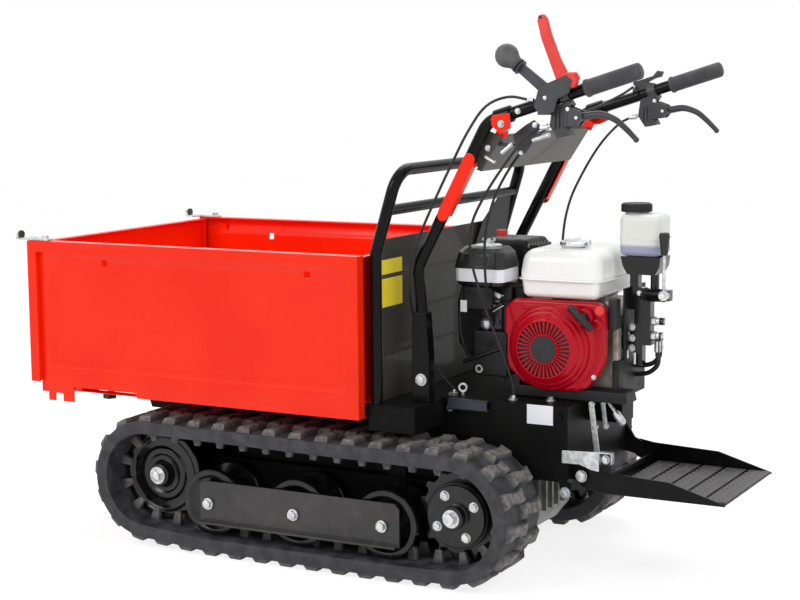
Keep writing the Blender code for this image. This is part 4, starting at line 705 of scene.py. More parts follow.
handle_y, slope = 0.266, Vector((1, 0, BAR_RISE)).normalized()
for name, side in SIDES:
    y = side * handle_y
    leg = [(0.178, beam_top), (0.221, beam_top), (0.221, 0.5), (0.214, 0.6), (0.184, 0.6), (0.178, 0.56)]
    bar = Shape().slab(leg, "y", y - 0.0155, y + 0.0155, 0.002, 3)
    route = [(0.199, y, 0.58), (0.188, y, 0.7), (0.362, y, bar_height(0.362)), (0.708, y, bar_height(0.708))]
    bar.tube(bent(route, 0.055), bar_r, fineness=10)
    collar = Vector((0.382, y, bar_height(0.382)))
    bar.turned([(0.0, 0.0136), (0.0, 0.0175), (0.001, 0.0185), (0.039, 0.0185), (0.04, 0.0175),
                (0.04, 0.0136)], collar, slope, 40)
    piece("bent_handlebar_" + name, bar, tube_black, "handlebar_" + name)
    shield = Shape().slab(oblong((0.258, 0.821), (0.324, 0.946), 0.0135), "y", y + side * 0.014,
                          y + side * 0.0175, 0.0012)
    for across in (-1, 1):
        shift = Vector((0.884, -0.467)) * 0.013 * across
        lip = oblong(Vector((0.26, 0.825)) + shift, Vector((0.322, 0.942)) + shift, 0.0012, 4)
        shield.slab(lip, "y", y - side * 0.004, y + side * 0.0155, 0.0004, 1)
    piece("bar_shield_" + name, shield, red_coat)
    clamp = Shape().slab([(0.379, 1.0347), (0.3808, 1.019), (0.4, 1.0035), (0.4265, 1.015), (0.4236, 1.0475),
                          (0.3832, 1.0425)], "y", y + side * 0.0185, y + side * 0.0215, 0.001)
    clamp.slab([(0.3808, 1.019), (0.4, 1.0035), (0.402, 1.006), (0.3828, 1.0215)], "y",
               y - side * 0.018, y + side * 0.02, 0.0008)
    clamp.slab([(0.368, 0.996), (0.396, 0.99), (0.404, 1.006), (0.3828, 1.0215)], "y",
               y - side * 0.02, y - side * 0.0172, 0.001)
    piece("bar_clamp_" + name, clamp, red_coat)
    fixings = Shape().bolt((0.202, y + side * 0.0155, 0.447), (0, side, 0), 0.023, 0.008, 0.014)
    fixings.bolt((0.404, y + side * 0.0215, 1.024), (0, side, 0), 0.012, 0.005, 0.008)
    fixings.bolt((0.44, y + side * 0.013, bar_height(0.44) - 0.001), (0, side, 0), 0.01, 0.0035, 0.0065)
    piece("handlebar_bolts_" + name, fixings, zinc)


# Grips: moulded rubber sleeves with a collar and fine rings, pushed on the bars' ends.

def soft_rubber(light, dark):
    """Soft matt rubber, a little patchy."""
    def paint(place):
        patch = place.cloud(30.0, 4.0).step(0.3, 0.7)
        return {"Base Color": patch.mix(light, dark), "Roughness": 0.58 + 0.14 * patch,
                "relief": (place.cloud(900.0, 3.0), 0.0001)}
    return paint


grip_rubber = finish("grip_rubber_finish", soft_rubber((74, 74, 78), (66, 66, 70)))
grip_length = 0.129
for name, side in SIDES:
    section = [(0.0, 0.0), (0.0, 0.0142), (0.0, 0.0185), (0.001, 0.0195), (0.007, 0.0195), (0.008, 0.0185)]
    for i in range(26):
        along = 0.01 + 0.0042 * i
        section += [(along, 0.0172), (along + 0.0008, 0.018),
                    (along + 0.0032, 0.018), (along + 0.004, 0.0172)]
    section += [(grip_length - 0.007, 0.018), (grip_length - 0.003, 0.017), (grip_length, 0.013),
                (grip_length, 0.0)]
    sleeve = Shape().turned(section, (0.592, side * handle_y, bar_height(0.592)), slope, 40)
    piece("ribbed_grip_" + name, sleeve, grip_rubber, "grip_" + name)


# Control shelf: grey-black sheet between the bars, with a tab to each. Cable anchors with bright
# threaded sleeves are bolted on it.

shelf = Shape().cad("control_shelf", 0.0008)
shelf_grey = finish("shelf_paint", powder_coat((84, 82, 74), (74, 72, 66), 0.4, 0.0001))
piece("control_shelf_sheet", shelf, shelf_grey, "control_shelf")
anchor_plastic = finish("slate_moulding", moulded((58, 58, 68), (44, 44, 54), 0.4))
anchor = Shape().slab([(0.411, 0.9985), (0.417, 0.974), (0.428, 0.9545), (0.443, 0.96), (0.468, 0.998),
                       (0.476, 1.02), (0.4615, 1.0315), (0.441, 1.02)], "y", -0.244, -0.238, 0.0015)
anchor.block((0.376, 0.44), (-0.242, -0.226), (0.974, 0.98), 0.001)
piece("cable_anchor", anchor, anchor_plastic)
sleeves = Shape().bolt((0.465, -0.244, 1.0205), LEFT, 0.011, 0.004, 0.0065)
sleeves.bolt((0.4318, -0.244, 0.9605), LEFT, 0.009, 0.0035, 0.005)
sleeves.bolt((0.356, -0.25, 0.97), (0.3, -1, 0.2), 0.012, 0.006, 0.008)
sleeves.bar((0.348, -0.25, 0.951), (0.371, -0.25, 0.9385), 0.0052, 6)
sleeves.bar((0.3869, -0.25, 0.9589), (0.411, -0.246, 0.9794), 0.0048, 20)
sleeves.bar((0.462, -0.25, 0.988), (0.504, -0.256, 1.0), 0.005, 20)
piece("cable_sleeves", sleeves, zinc)


# Lever holders: moulded clamps on the bars in slate-black plastic, with ribbed flanks and plated
# screws; the left one has a side plate. The clutch levers hinge in their cheeks and end in a ball.

lever_plastic = finish("lever_moulding", moulded((60, 60, 64), (46, 46, 50), 0.38))


def smooth(route, spacing=0.008):
    """A smooth curve through a route's points, with its first and last stretches kept straight."""
    route = [Vector(p) for p in route]
    inner = route[1:-1]
    ends = [2 * inner[0] - inner[1]] + inner + [2 * inner[-1] - inner[-2]]
    line = [route[0]]
    for a, b, c, d in zip(ends, ends[1:], ends[2:], ends[3:]):
        count = max(1, round((c - b).length / spacing))
        for i in range(count):
            t = i / count
            line.append(0.5 * (2 * b + (c - a) * t + (2 * a - 5 * b + 4 * c - d) * t * t
                               + (3 * b - a - 3 * c + d) * t ** 3))
    return line + [inner[-1], route[-1]]


for name, side in SIDES:
    y = side * handle_y
    perch = "lever_perch_" + name
    holder = Shape().cad(perch, 0.0011)
    piece("lever_holder_" + name, holder, lever_plastic, perch)
    lift = 0.003 * (1 + side)
    screws = Shape().bolt((0.556, y - 0.014, 1.056 + lift), LEFT, 0.01, 0.003)
    screws.bar((0.576, y - 0.0178, 1.038), (0.576, y + 0.0178, 1.038), 0.0038, 24)
    screws.bar((0.506, y, 1.017 + lift), (0.488, y, 1.016 + lift), 0.0058, 24)
    screws.bolt((0.492, y, 1.0165 + lift), (-1, 0, 0), 0.013, 0.005)
    piece("lever_screws_" + name, screws, zinc)
    route = [(0.57, y, 1.037), (0.576, y, 1.0378), (0.595, y, 1.0415), (0.625, y, 1.0448),
             (0.656, y, 1.0352), (0.68, y, 1.017), (0.7, y, 0.998), (0.705, y, 0.9925)]
    line = smooth(route, 0.005)
    thick = [0.009 - 0.0035 * min(1.0, (p.x - 0.57) / 0.135) for p in line]
    lever = "clutch_lever_" + name
    blade = Shape().tube(line, 0.001, [r * 1000 for r in thick], 8)
    ball = [(0.0062 * math.sin(math.radians(a)), 0.0062 * math.cos(math.radians(a)))
            for a in range(-90, 91, 15)]
    blade.turned(ball, line[-1], (1, 0, 0), 24)
    blade.turned(mirrored((0.0085, 0.0085), (0.0085, 0.0036)), (0.576, y, 1.038), (0, 1, 0), 28)
    piece("squeeze_lever_" + name, blade, lever_plastic, lever, body=lever)


# Gear and drive levers: the left lever holder's side plate carries both on screws. The gear lever has a
# grey rubber knob over two collars, and the drive lever is moulded in red.

y = -handle_y
screws = Shape().bolt((0.5131, y - 0.034, 1.08), LEFT, 0.01, 0.0035)
screws.bolt((0.512, y - 0.0295, 1.096), LEFT, 0.011, 0.004)
screws.bolt((0.512, y - 0.0185, 1.096), (0, 1, 0), 0.011, 0.004)
screws.bolt((0.558, y - 0.0185, 1.112), (0, 1, 0), 0.011, 0.004)
piece("bracket_screws", screws, zinc)

gear_axis, knob = Vector((0.512, y - 0.024, 1.096)), Vector((0.42, y - 0.024, 1.169))
line = (knob - gear_axis).normalized()
square = Vector((-line.z, 0, line.x))
far = knob - line * 0.03
outline = [gear_axis - line * 0.013 + square * 0.008, gear_axis - line * 0.013 - square * 0.008,
           gear_axis - square * 0.0125, far - square * 0.0105, far + square * 0.0105,
           gear_axis + square * 0.0125]
arm = Shape().slab([(p.x, p.z) for p in outline], "y", y - 0.0295, y - 0.0185, 0.003, 3)
for along in (-0.042, -0.035):
    arm.turned([(along, 0.0), (along, 0.0155), (along + 0.001, 0.0168), (along + 0.0035, 0.0168),
                (along + 0.0045, 0.0155), (along + 0.0045, 0.0)], knob, line, 36)
piece("gear_lever_arm", arm, anchor_plastic, "gear_lever", body="gear_lever")
section = [(-0.031, 0.0), (-0.031, 0.0135), (-0.0295, 0.015), (-0.022, 0.0165), (-0.017, 0.019)]
section += [(0.001 + 0.026 * math.sin(math.radians(a)), 0.026 * math.cos(math.radians(a)))
            for a in range(-36, 91, 9)]
knob_rubber = finish("knob_rubber_finish", soft_rubber((96, 97, 96), (78, 79, 80)))
piece("gear_knob", Shape().turned(section, knob, line, 40), knob_rubber, body="gear_lever")

lever_red = finish("drive_lever_moulding", moulded((236, 66, 56), (222, 52, 44), 0.36))
blade = Shape().cad("drive_lever", 0.0034)
blade.slab([(0.543, 1.1), (0.576, 1.101), (0.584, 1.112), (0.58, 1.132), (0.548, 1.134), (0.54, 1.118)], "y",
           y - 0.033, y - 0.0165, 0.003, 3)
piece("red_drive_lever", blade, lever_red, "drive_lever", body="drive_lever")
tip = Shape().bar((0.4985, y - 0.0302, 1.249), (0.4985, y - 0.0285, 1.249), 0.0036, 24, 0.0003)
piece("drive_lever_tip_plug", tip, black_plastic, body="drive_lever")
piece("throttle_paddle", Shape().cad("throttle_lever", 0.002),
      lever_plastic, "throttle_lever", body="throttle_lever")


# Engine: alloy crankcase and sloping cylinder head, with fins, carburettor and float bowl on its
# left, and black pipes, covers and base plates round it. The black plate under the fan cover is the
# engine's base and also painted shade under the cover. Cast surfaces are pebbly. The casting is
# drawn in on its far side, and set back at the front of its near side.

soot_black = finish("heat_black", cast_metal((44, 44, 46), (26, 26, 28), 0.5))
block = Shape().cad("engine_block", 0.002)
for v in block.bm.verts:
    v.co.y = min(v.co.y, 0.02 + (v.co.y - 0.02) * 0.5)
    if v.co.x < 0.352:
        v.co.y = max(v.co.y, -0.095)
block.bar((0.588, -0.06, 0.44), (0.598, -0.06, 0.44), 0.016, 32, 0.0015)
block.slab([(0.586, 0.4), (0.6, 0.4), (0.6, 0.56), (0.586, 0.59)], "y", -0.09, -0.069, 0.002)
for i in range(7):
    z = 0.452 + 0.02 * i
    block.block((0.24 + 0.004 * abs(i - 3), 0.388), (-0.056, 0.095), (z, z + 0.0035), 0.0008, 1)
piece("engine_casting", block, cast_alloy, "engine_block")

dark = Shape().slab([(0.206, 0.505), (0.246, 0.47), (0.34, 0.44), (0.376, 0.44), (0.376, 0.64),
                     (0.262, 0.656), (0.216, 0.648), (0.202, 0.6)], "y", -0.1, -0.056, 0.006, 3)
dark.slab([(0.228, 0.5), (0.246, 0.47), (0.252, 0.56), (0.262, 0.632), (0.246, 0.64), (0.23, 0.58)],
          "y", -0.057, 0.085, 0.004, 3)
# A black plate under the fan cover: the engine's base, and painted shade below the cover.
dark.slab([(0.346, 0.3975), (0.636, 0.3975), (0.63, 0.423), (0.35, 0.423)], "y", -0.122, -0.06, 0.003, 2)
dark.block((0.25, 0.352), (-0.121, -0.052), (0.61, 0.651), 0.008, 4)
dark.block((0.242, 0.318), (-0.156, -0.098), (0.592, 0.651), 0.009, 4)
dark.bar((0.29, -0.14, 0.6), (0.3, -0.115, 0.56), 0.017, 32)
dark.tube(smooth([(0.244, -0.15, 0.64), (0.24, -0.151, 0.62), (0.236, -0.152, 0.56), (0.248, -0.146, 0.5),
                  (0.28, -0.128, 0.455), (0.33, -0.112, 0.438), (0.345, -0.11, 0.436)], 0.006), 0.0042)
dark.block((0.33, 0.372), (-0.119, -0.06), (0.4, 0.446), 0.004, 2)
dark.block((0.262, 0.348), (-0.1385, -0.098), (0.44, 0.545), 0.006, 2)
dark.block((0.312, 0.352), (-0.118, -0.098), (0.54, 0.648), 0.006, 2)
dark.bar((0.24, -0.142, 0.47), (0.334, -0.139, 0.507), 0.0048, 20)
dark.block((0.599, 0.604), (-0.06, 0.074), (0.4, 0.65), 0.002, 2)
dark.block((0.59, 0.606), (-0.1, -0.056), (0.415, 0.49), 0.004, 3)
piece("intake_elbow_and_painted_base_shade", dark, soot_black)

carb = Shape().block((0.272, 0.33), (-0.126, -0.07), (0.545, 0.612), 0.006, 4)
carb.turned([(0.0, 0.0), (0.0, 0.013), (0.003, 0.0145), (0.01, 0.0145), (0.011, 0.013), (0.011, 0.0)],
            (0.294, -0.13, 0.58), (0, 0, -1), 40)
carb.bolt((0.294, -0.13, 0.547), (0, 0, -1), 0.011, 0.0055)
for x, z in ((0.28, 0.56), (0.322, 0.566), (0.318, 0.602), (0.276, 0.6)):
    carb.bolt((x, -0.126, z), LEFT, 0.0085, 0.004, 0.006)
dull_alloy = finish("dull_alloy", cast_metal((66, 64, 68), (26, 25, 28)))
piece("carburettor", carb, dull_alloy)

bits = Shape().tube(smooth([(0.336, -0.128, 0.628), (0.328, -0.13, 0.627), (0.308, -0.134, 0.622),
                            (0.284, -0.137, 0.63), (0.268, -0.138, 0.628), (0.262, -0.138, 0.626)], 0.004),
                    0.0016)
bits.tube(smooth([(0.334, -0.124, 0.604), (0.326, -0.126, 0.6), (0.306, -0.133, 0.588),
                  (0.288, -0.134, 0.592), (0.28, -0.134, 0.594)], 0.004), 0.0014)
bits.slab(oblong((0.296, 0.64), (0.33, 0.628), 0.0042), "y", -0.139, -0.137, 0.0004)
bits.slab(oblong((0.296, 0.578), (0.304, 0.606), 0.005), "y", -0.14, -0.138, 0.0004)
for where in ((0.296, -0.139, 0.64), (0.33, -0.139, 0.628), (0.304, -0.14, 0.606), (0.2296, -0.11, 0.59)):
    bits.bolt(where, LEFT, 0.009, 0.0035, 0.0055)
for i in range(9):
    x = 0.3 + 0.0032 * i
    bits.turned(mirrored((0.0006, 0.004), (0.0006, 0.0028)),
                (x, -0.133, 0.618 - 0.0004 * i), (1, 0, -0.1), 16)
bits.turned([(0.0, 0.0055), (0.0, 0.0095), (0.006, 0.0095), (0.006, 0.0055)],
            (0.2785, -0.134, 0.456), LEFT, 28)
bits.bolt((0.326, -0.122, 0.456), LEFT, 0.011, 0.006, 0.008)
bits.turned([(0.0, 0.0), (0.0, 0.012), (0.003, 0.0132), (0.014, 0.0125), (0.02, 0.0085), (0.0215, 0.0)],
            (0.294, -0.13, 0.5695), (0, 0, -1), 32)
piece("carburettor_links", bits, zinc)
label = Shape().block((0.24, 0.256), (-0.158, -0.1555), (0.589, 0.616), 0.0003, 1)
piece("bare_switch_label", label, label_white)


# Fan cover: pressed steel in gloss crimson, screwed to the crankcase. A dish with ridges stands out
# of it, with a ring of slots round a bare black disc, and the starter's rope comes out beside it.

crimson = finish("crimson_gloss",
                 powder_coat((190, 0, 30), (178, 0, 26), 0.14, 0.00006, 0.0, 0.16))
shell = [(0.3365, 0.497), (0.349, 0.462), (0.383, 0.432), (0.424, 0.4185), (0.476, 0.4165), (0.52, 0.42),
         (0.545, 0.431), (0.568, 0.457), (0.582, 0.492), (0.584, 0.568), (0.581, 0.608), (0.568, 0.6235),
         (0.362, 0.6235), (0.34, 0.602)]
cover = Shape().slab(shell, "y", -0.133, -0.104, 0.008, 5)
fan = Vector((0.451, -0.131, 0.516))
slot_in, slot_out, slots = 0.035, 0.0655, 36
section = [(0.0, 0.0), (0.0, 0.0985), (0.005, 0.098), (0.009, 0.0955), (0.011, 0.0925), (0.0112, 0.09),
           (0.015, 0.089), (0.019, 0.086), (0.0208, 0.0825), (0.021, 0.08), (0.0245, 0.079),
           (0.0285, 0.0755), (0.0305, 0.0715), (0.032, 0.069), (0.0345, 0.068), (0.0355, 0.0665),
           (0.0355, 0.064), (0.034, slot_out), (0.028, slot_out), (0.028, slot_in), (0.034, slot_in),
           (0.0355, slot_in - 0.001), (0.0355, 0.0325), (0.0345, 0.0315), (0.0345, 0.0)]
cover.turned(section, fan, LEFT, 96)
for start, growth in ((0.101, 0.02), (0.103, 0.03)):
    ridge = []
    for i in range(25):
        turn = math.radians(-60 + 4.2 * i)
        radius = start + growth * (i / 24) ** 0.8
        ridge.append((fan.x + radius * math.cos(turn), -0.133, fan.z + radius * math.sin(turn)))
    cover.tube(ridge, 0.0026)
for i in range(slots):
    turn = 2 * math.pi * i / slots
    out = Vector((math.cos(turn), 0, math.sin(turn)))
    side_way = Vector((-math.sin(turn), 0, math.cos(turn)))
    near, wide = fan + out * (slot_in - 0.001), fan + out * (slot_out + 0.001)
    corners = [(p.x, p.z) for p in (near - side_way * 0.0013, wide - side_way * 0.0025,
                                    wide + side_way * 0.0025, near + side_way * 0.0013)]
    cover.slab(corners, "y", fan.y - 0.0275, fan.y - 0.0345, 0.0006, 1)
cover.bar((0.541, -0.125, 0.591), (0.541, -0.147, 0.591), 0.02, 40, 0.003)
cover.bar((0.569, -0.125, 0.576), (0.569, -0.142, 0.576), 0.0125, 32, 0.004)
cover.slab(oblong((0.39, 0.608), (0.5, 0.608), 0.006), "y", -0.137, -0.13, 0.0025, 3)
piece("crimson_fan_cover", cover, crimson, "fan_cover")
# The wide disc lies black on the recess floor behind the slots: painted shade in the slots. The small disc on
# the centre cap is the bare black disc.
dark = Shape().turned([(0.0282, 0.0), (0.0282, slot_out - 0.0003), (0.029, slot_out - 0.0003), (0.029, 0.0)],
                      fan, LEFT, 72)
dark.turned([(0.034, 0.0), (0.034, 0.0302), (0.035, 0.031), (0.0362, 0.0302), (0.0366, 0.0)], fan, LEFT, 56)
dark.bar((0.541, -0.1465, 0.591), (0.541, -0.149, 0.591), 0.012, 32, 0.0006)
piece("fan_disc_and_painted_slot_shade", dark, black_plastic)
screws = Shape()
for x, z in ((0.525, 0.559), (0.464, 0.429), (0.56, 0.456)):
    screws.bolt((x, -0.133, z), LEFT, 0.01, 0.0035, 0.006)
piece("cover_screws", screws, zinc)

handle = Shape().tube([(0.51, -0.156, 0.616), (0.5125, -0.1566, 0.6138), (0.519, -0.158, 0.608),
                       (0.538, -0.16, 0.591), (0.555, -0.158, 0.575), (0.5615, -0.1566, 0.5692),
                       (0.564, -0.156, 0.567)], 0.0085, [0.72, 0.95, 1.0, 1.02, 1.0, 0.95, 0.72], 8)
handle.bar((0.54, -0.1485, 0.591), (0.54, -0.16, 0.591), 0.0105, 32, 0.002)
handle.bar((0.541, -0.085, 0.591), (0.541, -0.155, 0.591), 0.0028, 16)
piece("starter_handle", handle, black_plastic, "recoil_handle", body="recoil_handle")
stop = Shape().turned([(0.0, 0.0), (0.0, 0.01), (0.006, 0.0115), (0.016, 0.011), (0.02, 0.0085),
                       (0.021, 0.0)], (0.572, -0.129, 0.607), (0.25, -1, 0), 10, 0.001)
piece("red_stop_knob", stop, lever_red)
box = Shape().block((0.5815, 0.6), (-0.106, -0.074), (0.56, 0.63), 0.0035, 3)
box.block((0.584, 0.598), (-0.1085, -0.104), (0.566, 0.624), 0.002, 2)
piece("switch_box", box, black_plastic)


# Fuel tank: white painted steel in two pressings, joined by a rolled seam, with a chromed cap. It
# stands on two brackets over the crankcase.

tank_white = finish("tank_white_gloss",
                    powder_coat((254, 254, 252), (252, 252, 248), 0.18, 0.00005, 0.0, 0.4))


def swollen(xs, ys, zs, radius, draw, steps=8):
    """A pressing with rounded edges, drawn in by a share at its far end in z."""
    part = bmesh.new()
    bmesh.ops.create_cube(part, size=1.0)
    for v in part.verts:
        pull = 1.0 - draw if v.co.z > 0 else 1.0
        v.co = Vector(((xs[0] + xs[1]) / 2 + v.co.x * (xs[1] - xs[0]) * pull,
                       (ys[0] + ys[1]) / 2 + v.co.y * (ys[1] - ys[0]) * pull,
                       (zs[0] + zs[1]) / 2 + v.co.z * (zs[1] - zs[0])))
    bmesh.ops.recalc_face_normals(part, faces=part.faces)
    bmesh.ops.bevel(part, geom=list(part.edges), offset=radius, segments=steps, profile=0.5, affect="EDGES",
                    material=-1, clamp_overlap=True)
    return part


tank = Shape().take(swollen((0.368, 0.573), (-0.134, 0.108), (0.655, 0.737), 0.028, 0.09))
tank.take(swollen((0.374, 0.567), (-0.128, 0.102), (0.69, 0.626), 0.014, 0.06))
corner = 0.03
seam = [(x + corner * math.cos(math.radians(a)), y + corner * math.sin(math.radians(a)))
        for x, y, first in ((0.544, 0.079, 0), (0.397, 0.079, 90), (0.397, -0.105, 180), (0.544, -0.105, 270))
        for a in range(first, first + 91, 15)]
tank.slab(seam, "z", 0.6676, 0.6704, 0.001)
tank.turned([(0.0, 0.0), (0.0, 0.03), (0.008, 0.028), (0.014, 0.027), (0.014, 0.0)], (0.471, -0.04, 0.726),
            UP, 40)
piece("fuel_tank_pressings", tank, tank_white, "fuel_tank")
cap_spot = Vector((0.475, -0.04, 0.74))
cap = Shape().turned([(0.0003, 0.0), (0.0003, 0.0335), (0.002, 0.035), (0.009, 0.035), (0.011, 0.0325),
                      (0.012, 0.022), (0.0125, 0.008), (0.0126, 0.0)], cap_spot, UP, 48)
for i in range(3):
    turn = math.radians(20 + 120 * i)
    ear = cap_spot + Vector((0.03 * math.cos(turn), 0.03 * math.sin(turn), 0.001))
    cap.bar(ear, ear + Vector((0, 0, 0.012)), 0.0074, 24, 0.002)
cap.slab(oblong((0.475, -0.064), (0.475, -0.016), 0.003), "z", 0.75, 0.757, 0.0012)
piece("chromed_fuel_cap", cap, chrome, "fuel_cap", body="fuel_cap")


# Air cleaner and muffler: a moulded black lid with corner ribs over a white band, held by a wing
# nut, and behind it the exhaust in a black guard with rows of holes that show the bright can.

def octagon(xs, ys, cut):
    """A rectangle with its corners cut off, as an outline in x and y."""
    return [(xs[0] + cut, ys[0]), (xs[1] - cut, ys[0]), (xs[1], ys[0] + cut), (xs[1], ys[1] - cut),
            (xs[1] - cut, ys[1]), (xs[0] + cut, ys[1]), (xs[0], ys[1] - cut), (xs[0], ys[0] + cut)]


def stacked(*rings):
    """A closed form whose outline changes from one height to the next."""
    part = bmesh.new()
    loops = [[part.verts.new((x, y, z)) for x, y in ring] for z, ring in rings]
    for low, high in zip(loops, loops[1:]):
        for i in range(len(low)):
            part.faces.new((low[i - 1], low[i], high[i], high[i - 1]))
    part.faces.new(loops[0][::-1])
    part.faces.new(loops[-1])
    return part


rim = octagon((0.2235, 0.35), (-0.165, -0.06), 0.012)
cleaner = Shape().take(stacked((0.69, rim), (0.6935, rim),
                               (0.726, octagon((0.229, 0.345), (-0.16, -0.064), 0.017)),
                               (0.737, octagon((0.24, 0.335), (-0.149, -0.074), 0.014)),
                               (0.739, octagon((0.245, 0.33), (-0.144, -0.078), 0.012))), 0.003, 3, 20.0)
cleaner.take(stacked((0.65, octagon((0.231, 0.344), (-0.158, -0.066), 0.012)),
                     (0.662, octagon((0.227, 0.347), (-0.162, -0.062), 0.012))), 0.0015, 2, 30.0)
for x in (0.252, 0.33):
    cleaner.block((x, x + 0.002), (-0.1652, -0.159), (0.694, 0.724), 0.0006, 1)
cleaner.block((0.27, 0.312), (-0.165, -0.16), (0.699, 0.718), 0.0012, 1)
lid_black = finish("lid_moulding", moulded((22, 21, 22), (14, 14, 15), 0.16))
piece("air_cleaner_lid", cleaner, lid_black, "air_cleaner")
rim = octagon((0.2262, 0.3478), (-0.1628, -0.0616), 0.012)
band = Shape().take(stacked((0.66, rim), (0.691, rim)), 0.0012, 2, 30.0)
piece("air_cleaner_band", band, label_white, "air_cleaner")
nut = Shape().turned([(-0.002, 0.0), (-0.002, 0.03), (0.0006, 0.031), (0.0026, 0.029), (0.004, 0.008),
                      (0.01, 0.0065), (0.013, 0.0045), (0.016, 0.003), (0.016, 0.0)], (0.288, -0.105, 0.739),
                     UP, 40)
for way in (-1, 1):
    nut.slab(oblong((0.288 + way * 0.006, 0.745), (0.288 + way * 0.014, 0.753), 0.0032),
             "y", -0.1063, -0.1037, 0.0008)
piece("air_cleaner_wing_nut", nut, zinc)

exhaust_black = finish("exhaust_black", cast_metal((36, 36, 37), (22, 22, 23), 0.46))
can = Shape().take(swollen((0.238, 0.352), (-0.03, 0.1), (0.66, 0.746), 0.012, 0.04, 4))
can.bar((0.24, 0.06, 0.7), (0.222, 0.06, 0.7), 0.012, 32)
can.slab([(0.245, -0.024), (0.34, -0.024), (0.366, -0.006), (0.366, 0.078), (0.34, 0.094), (0.245, 0.094)],
         "z", 0.718, 0.734, 0.003, 3)
piece("muffler_guard", can, exhaust_black, "muffler")
pits = Shape()
for i in range(8):
    for j in range(9):
        x, y = 0.25 + 0.012 * i, -0.013 + 0.0115 * j
        pits.bar((x, y, 0.745), (x, y, 0.7464), 0.0036, 10, 0.0)
for i in range(7):
    for z in (0.684, 0.7, 0.716, 0.732):
        y = -0.017 + 0.018 * i
        pits.bar((0.346, y, z), (0.3505, y, z), 0.005, 10, 0.0)
bare_can = finish("aluminised_can", cast_metal((168, 168, 164), (96, 96, 94)))
piece("muffler_holes", pits, bare_can)
tap = Shape().turned([(0.0, 0.0), (0.0, 0.0128), (0.002, 0.0138), (0.015, 0.0138), (0.0172, 0.0122),
                      (0.0175, 0.0)], (0.247, 0.056, 0.743), UP, 10, 0.0008)
piece("red_tap_knob", tap, lever_red)


# Hydraulics: a black post behind the engine holds the tipping valve, its bellows and lever, and the
# oil bottle in its tray. Two hoses run from the valve down to the pump.

piece("valve_post", Shape().cad("hydraulic_valve", 0.0013), gloss_black, "hydraulic_valve")
hose_rubber = finish("hose_rubber_finish", soft_rubber((36, 36, 38), (26, 26, 28)))
boot_start, boot_end = Vector((0.64, -0.025, 0.6333)), Vector((0.688, -0.0508, 0.6375))
ribs = 6
step = (boot_end - boot_start).length / ribs
section = [(0.0, 0.0)]
for i in range(ribs):
    size = 0.016 - 0.0007 * i
    section += [(step * i, size - 0.0038), (step * (i + 0.35), size), (step * (i + 0.65), size)]
section += [(step * ribs, 0.009), (step * ribs, 0.0)]
piece("valve_boot", Shape().turned(section, boot_start, boot_end - boot_start, 36), hose_rubber)
fittings = Shape()
for z, x1, r in ((0.575, 0.686, 0.0085), (0.541, 0.68, 0.0095)):
    start = Vector((0.6555, -0.023, z))
    fittings.bar(start, start + Vector((0.011, 0, 0)), r + 0.0022, 6, 0.0009)
    fittings.turned([(0.0105, 0.0), (0.0105, r), (0.0135, r + 0.0008), (0.0185, r + 0.0008),
                     (0.02, r - 0.001), (0.024, r - 0.0035), (x1 - 0.6555, r - 0.0042), (x1 - 0.6555, 0.0)],
                    start, (1, 0, 0), 32)
for y in (-0.025, -0.01):
    fittings.bar((0.67, y, 0.505), (0.67, y, 0.519), 0.0068, 28, 0.0008)
    fittings.bar((0.67, y, 0.5185), (0.67, y, 0.53), 0.0078, 6, 0.0008)
for y, z in ((0.006, 0.466), (0.014, 0.444)):
    fittings.bar((0.586, y, z), (0.5985, y, z), 0.0098, 6, 0.0008)
for x, z in ((0.612, 0.56), (0.612, 0.535), (0.598, 0.545), (0.612, 0.512)):
    fittings.bolt((x, -0.035, z), LEFT, 0.013, 0.006, 0.0085)
fittings.turned([(0.0, 0.0), (0.0, 0.0085), (0.011, 0.0085), (0.011, 0.0)], (0.7, -0.052, 0.64), LEFT, 28)
fittings.bolt((0.629, -0.035, 0.638), LEFT, 0.0095, 0.004, 0.006)
fittings.bar((0.618, -0.03, 0.475), (0.618, -0.03, 0.502), 0.0062, 20)
piece("hydraulic_fittings", fittings, zinc)
plug = Shape().block((0.59, 0.6045), (-0.044, -0.032), (0.487, 0.509), 0.0025, 3)
piece("white_connector", plug, label_white)
pivot = Vector((0.7, -0.072, 0.64))
lever = Shape().turned(mirrored((0.0058, 0.0112), (0.0065, 0.0105), (0.0065, 0.0036)), pivot, (0, 1, 0), 36)
lever.bar(pivot + Vector((0, 0, 0.0085)), (0.7, -0.072, 0.745), 0.0036, 24)
lever.bolt(pivot + Vector((0, -0.006, 0)), LEFT, 0.012, 0.004)
piece("valve_lever_stem", lever, zinc, "valve_lever", body="valve_lever")
grip = [(0.0, 0.0), (0.0, 0.0068), (0.0015, 0.0078), (0.03, 0.0108), (0.042, 0.012), (0.0475, 0.0115),
        (0.05, 0.009), (0.051, 0.0)]
piece("valve_lever_grip", Shape().turned(grip, (0.7, -0.072, 0.73), UP, 36),
      black_plastic, body="valve_lever")


def bottle_wall(place):
    """Milky blow-moulded plastic, bluish below the oil's level."""
    level = place.part("Z").step(0.752, 0.742)
    return {"Base Color": level.mix((232, 234, 228), (160, 162, 190)), "Roughness": 0.34,
            "relief": (place.cloud(40.0, 2.0), 0.0004)}


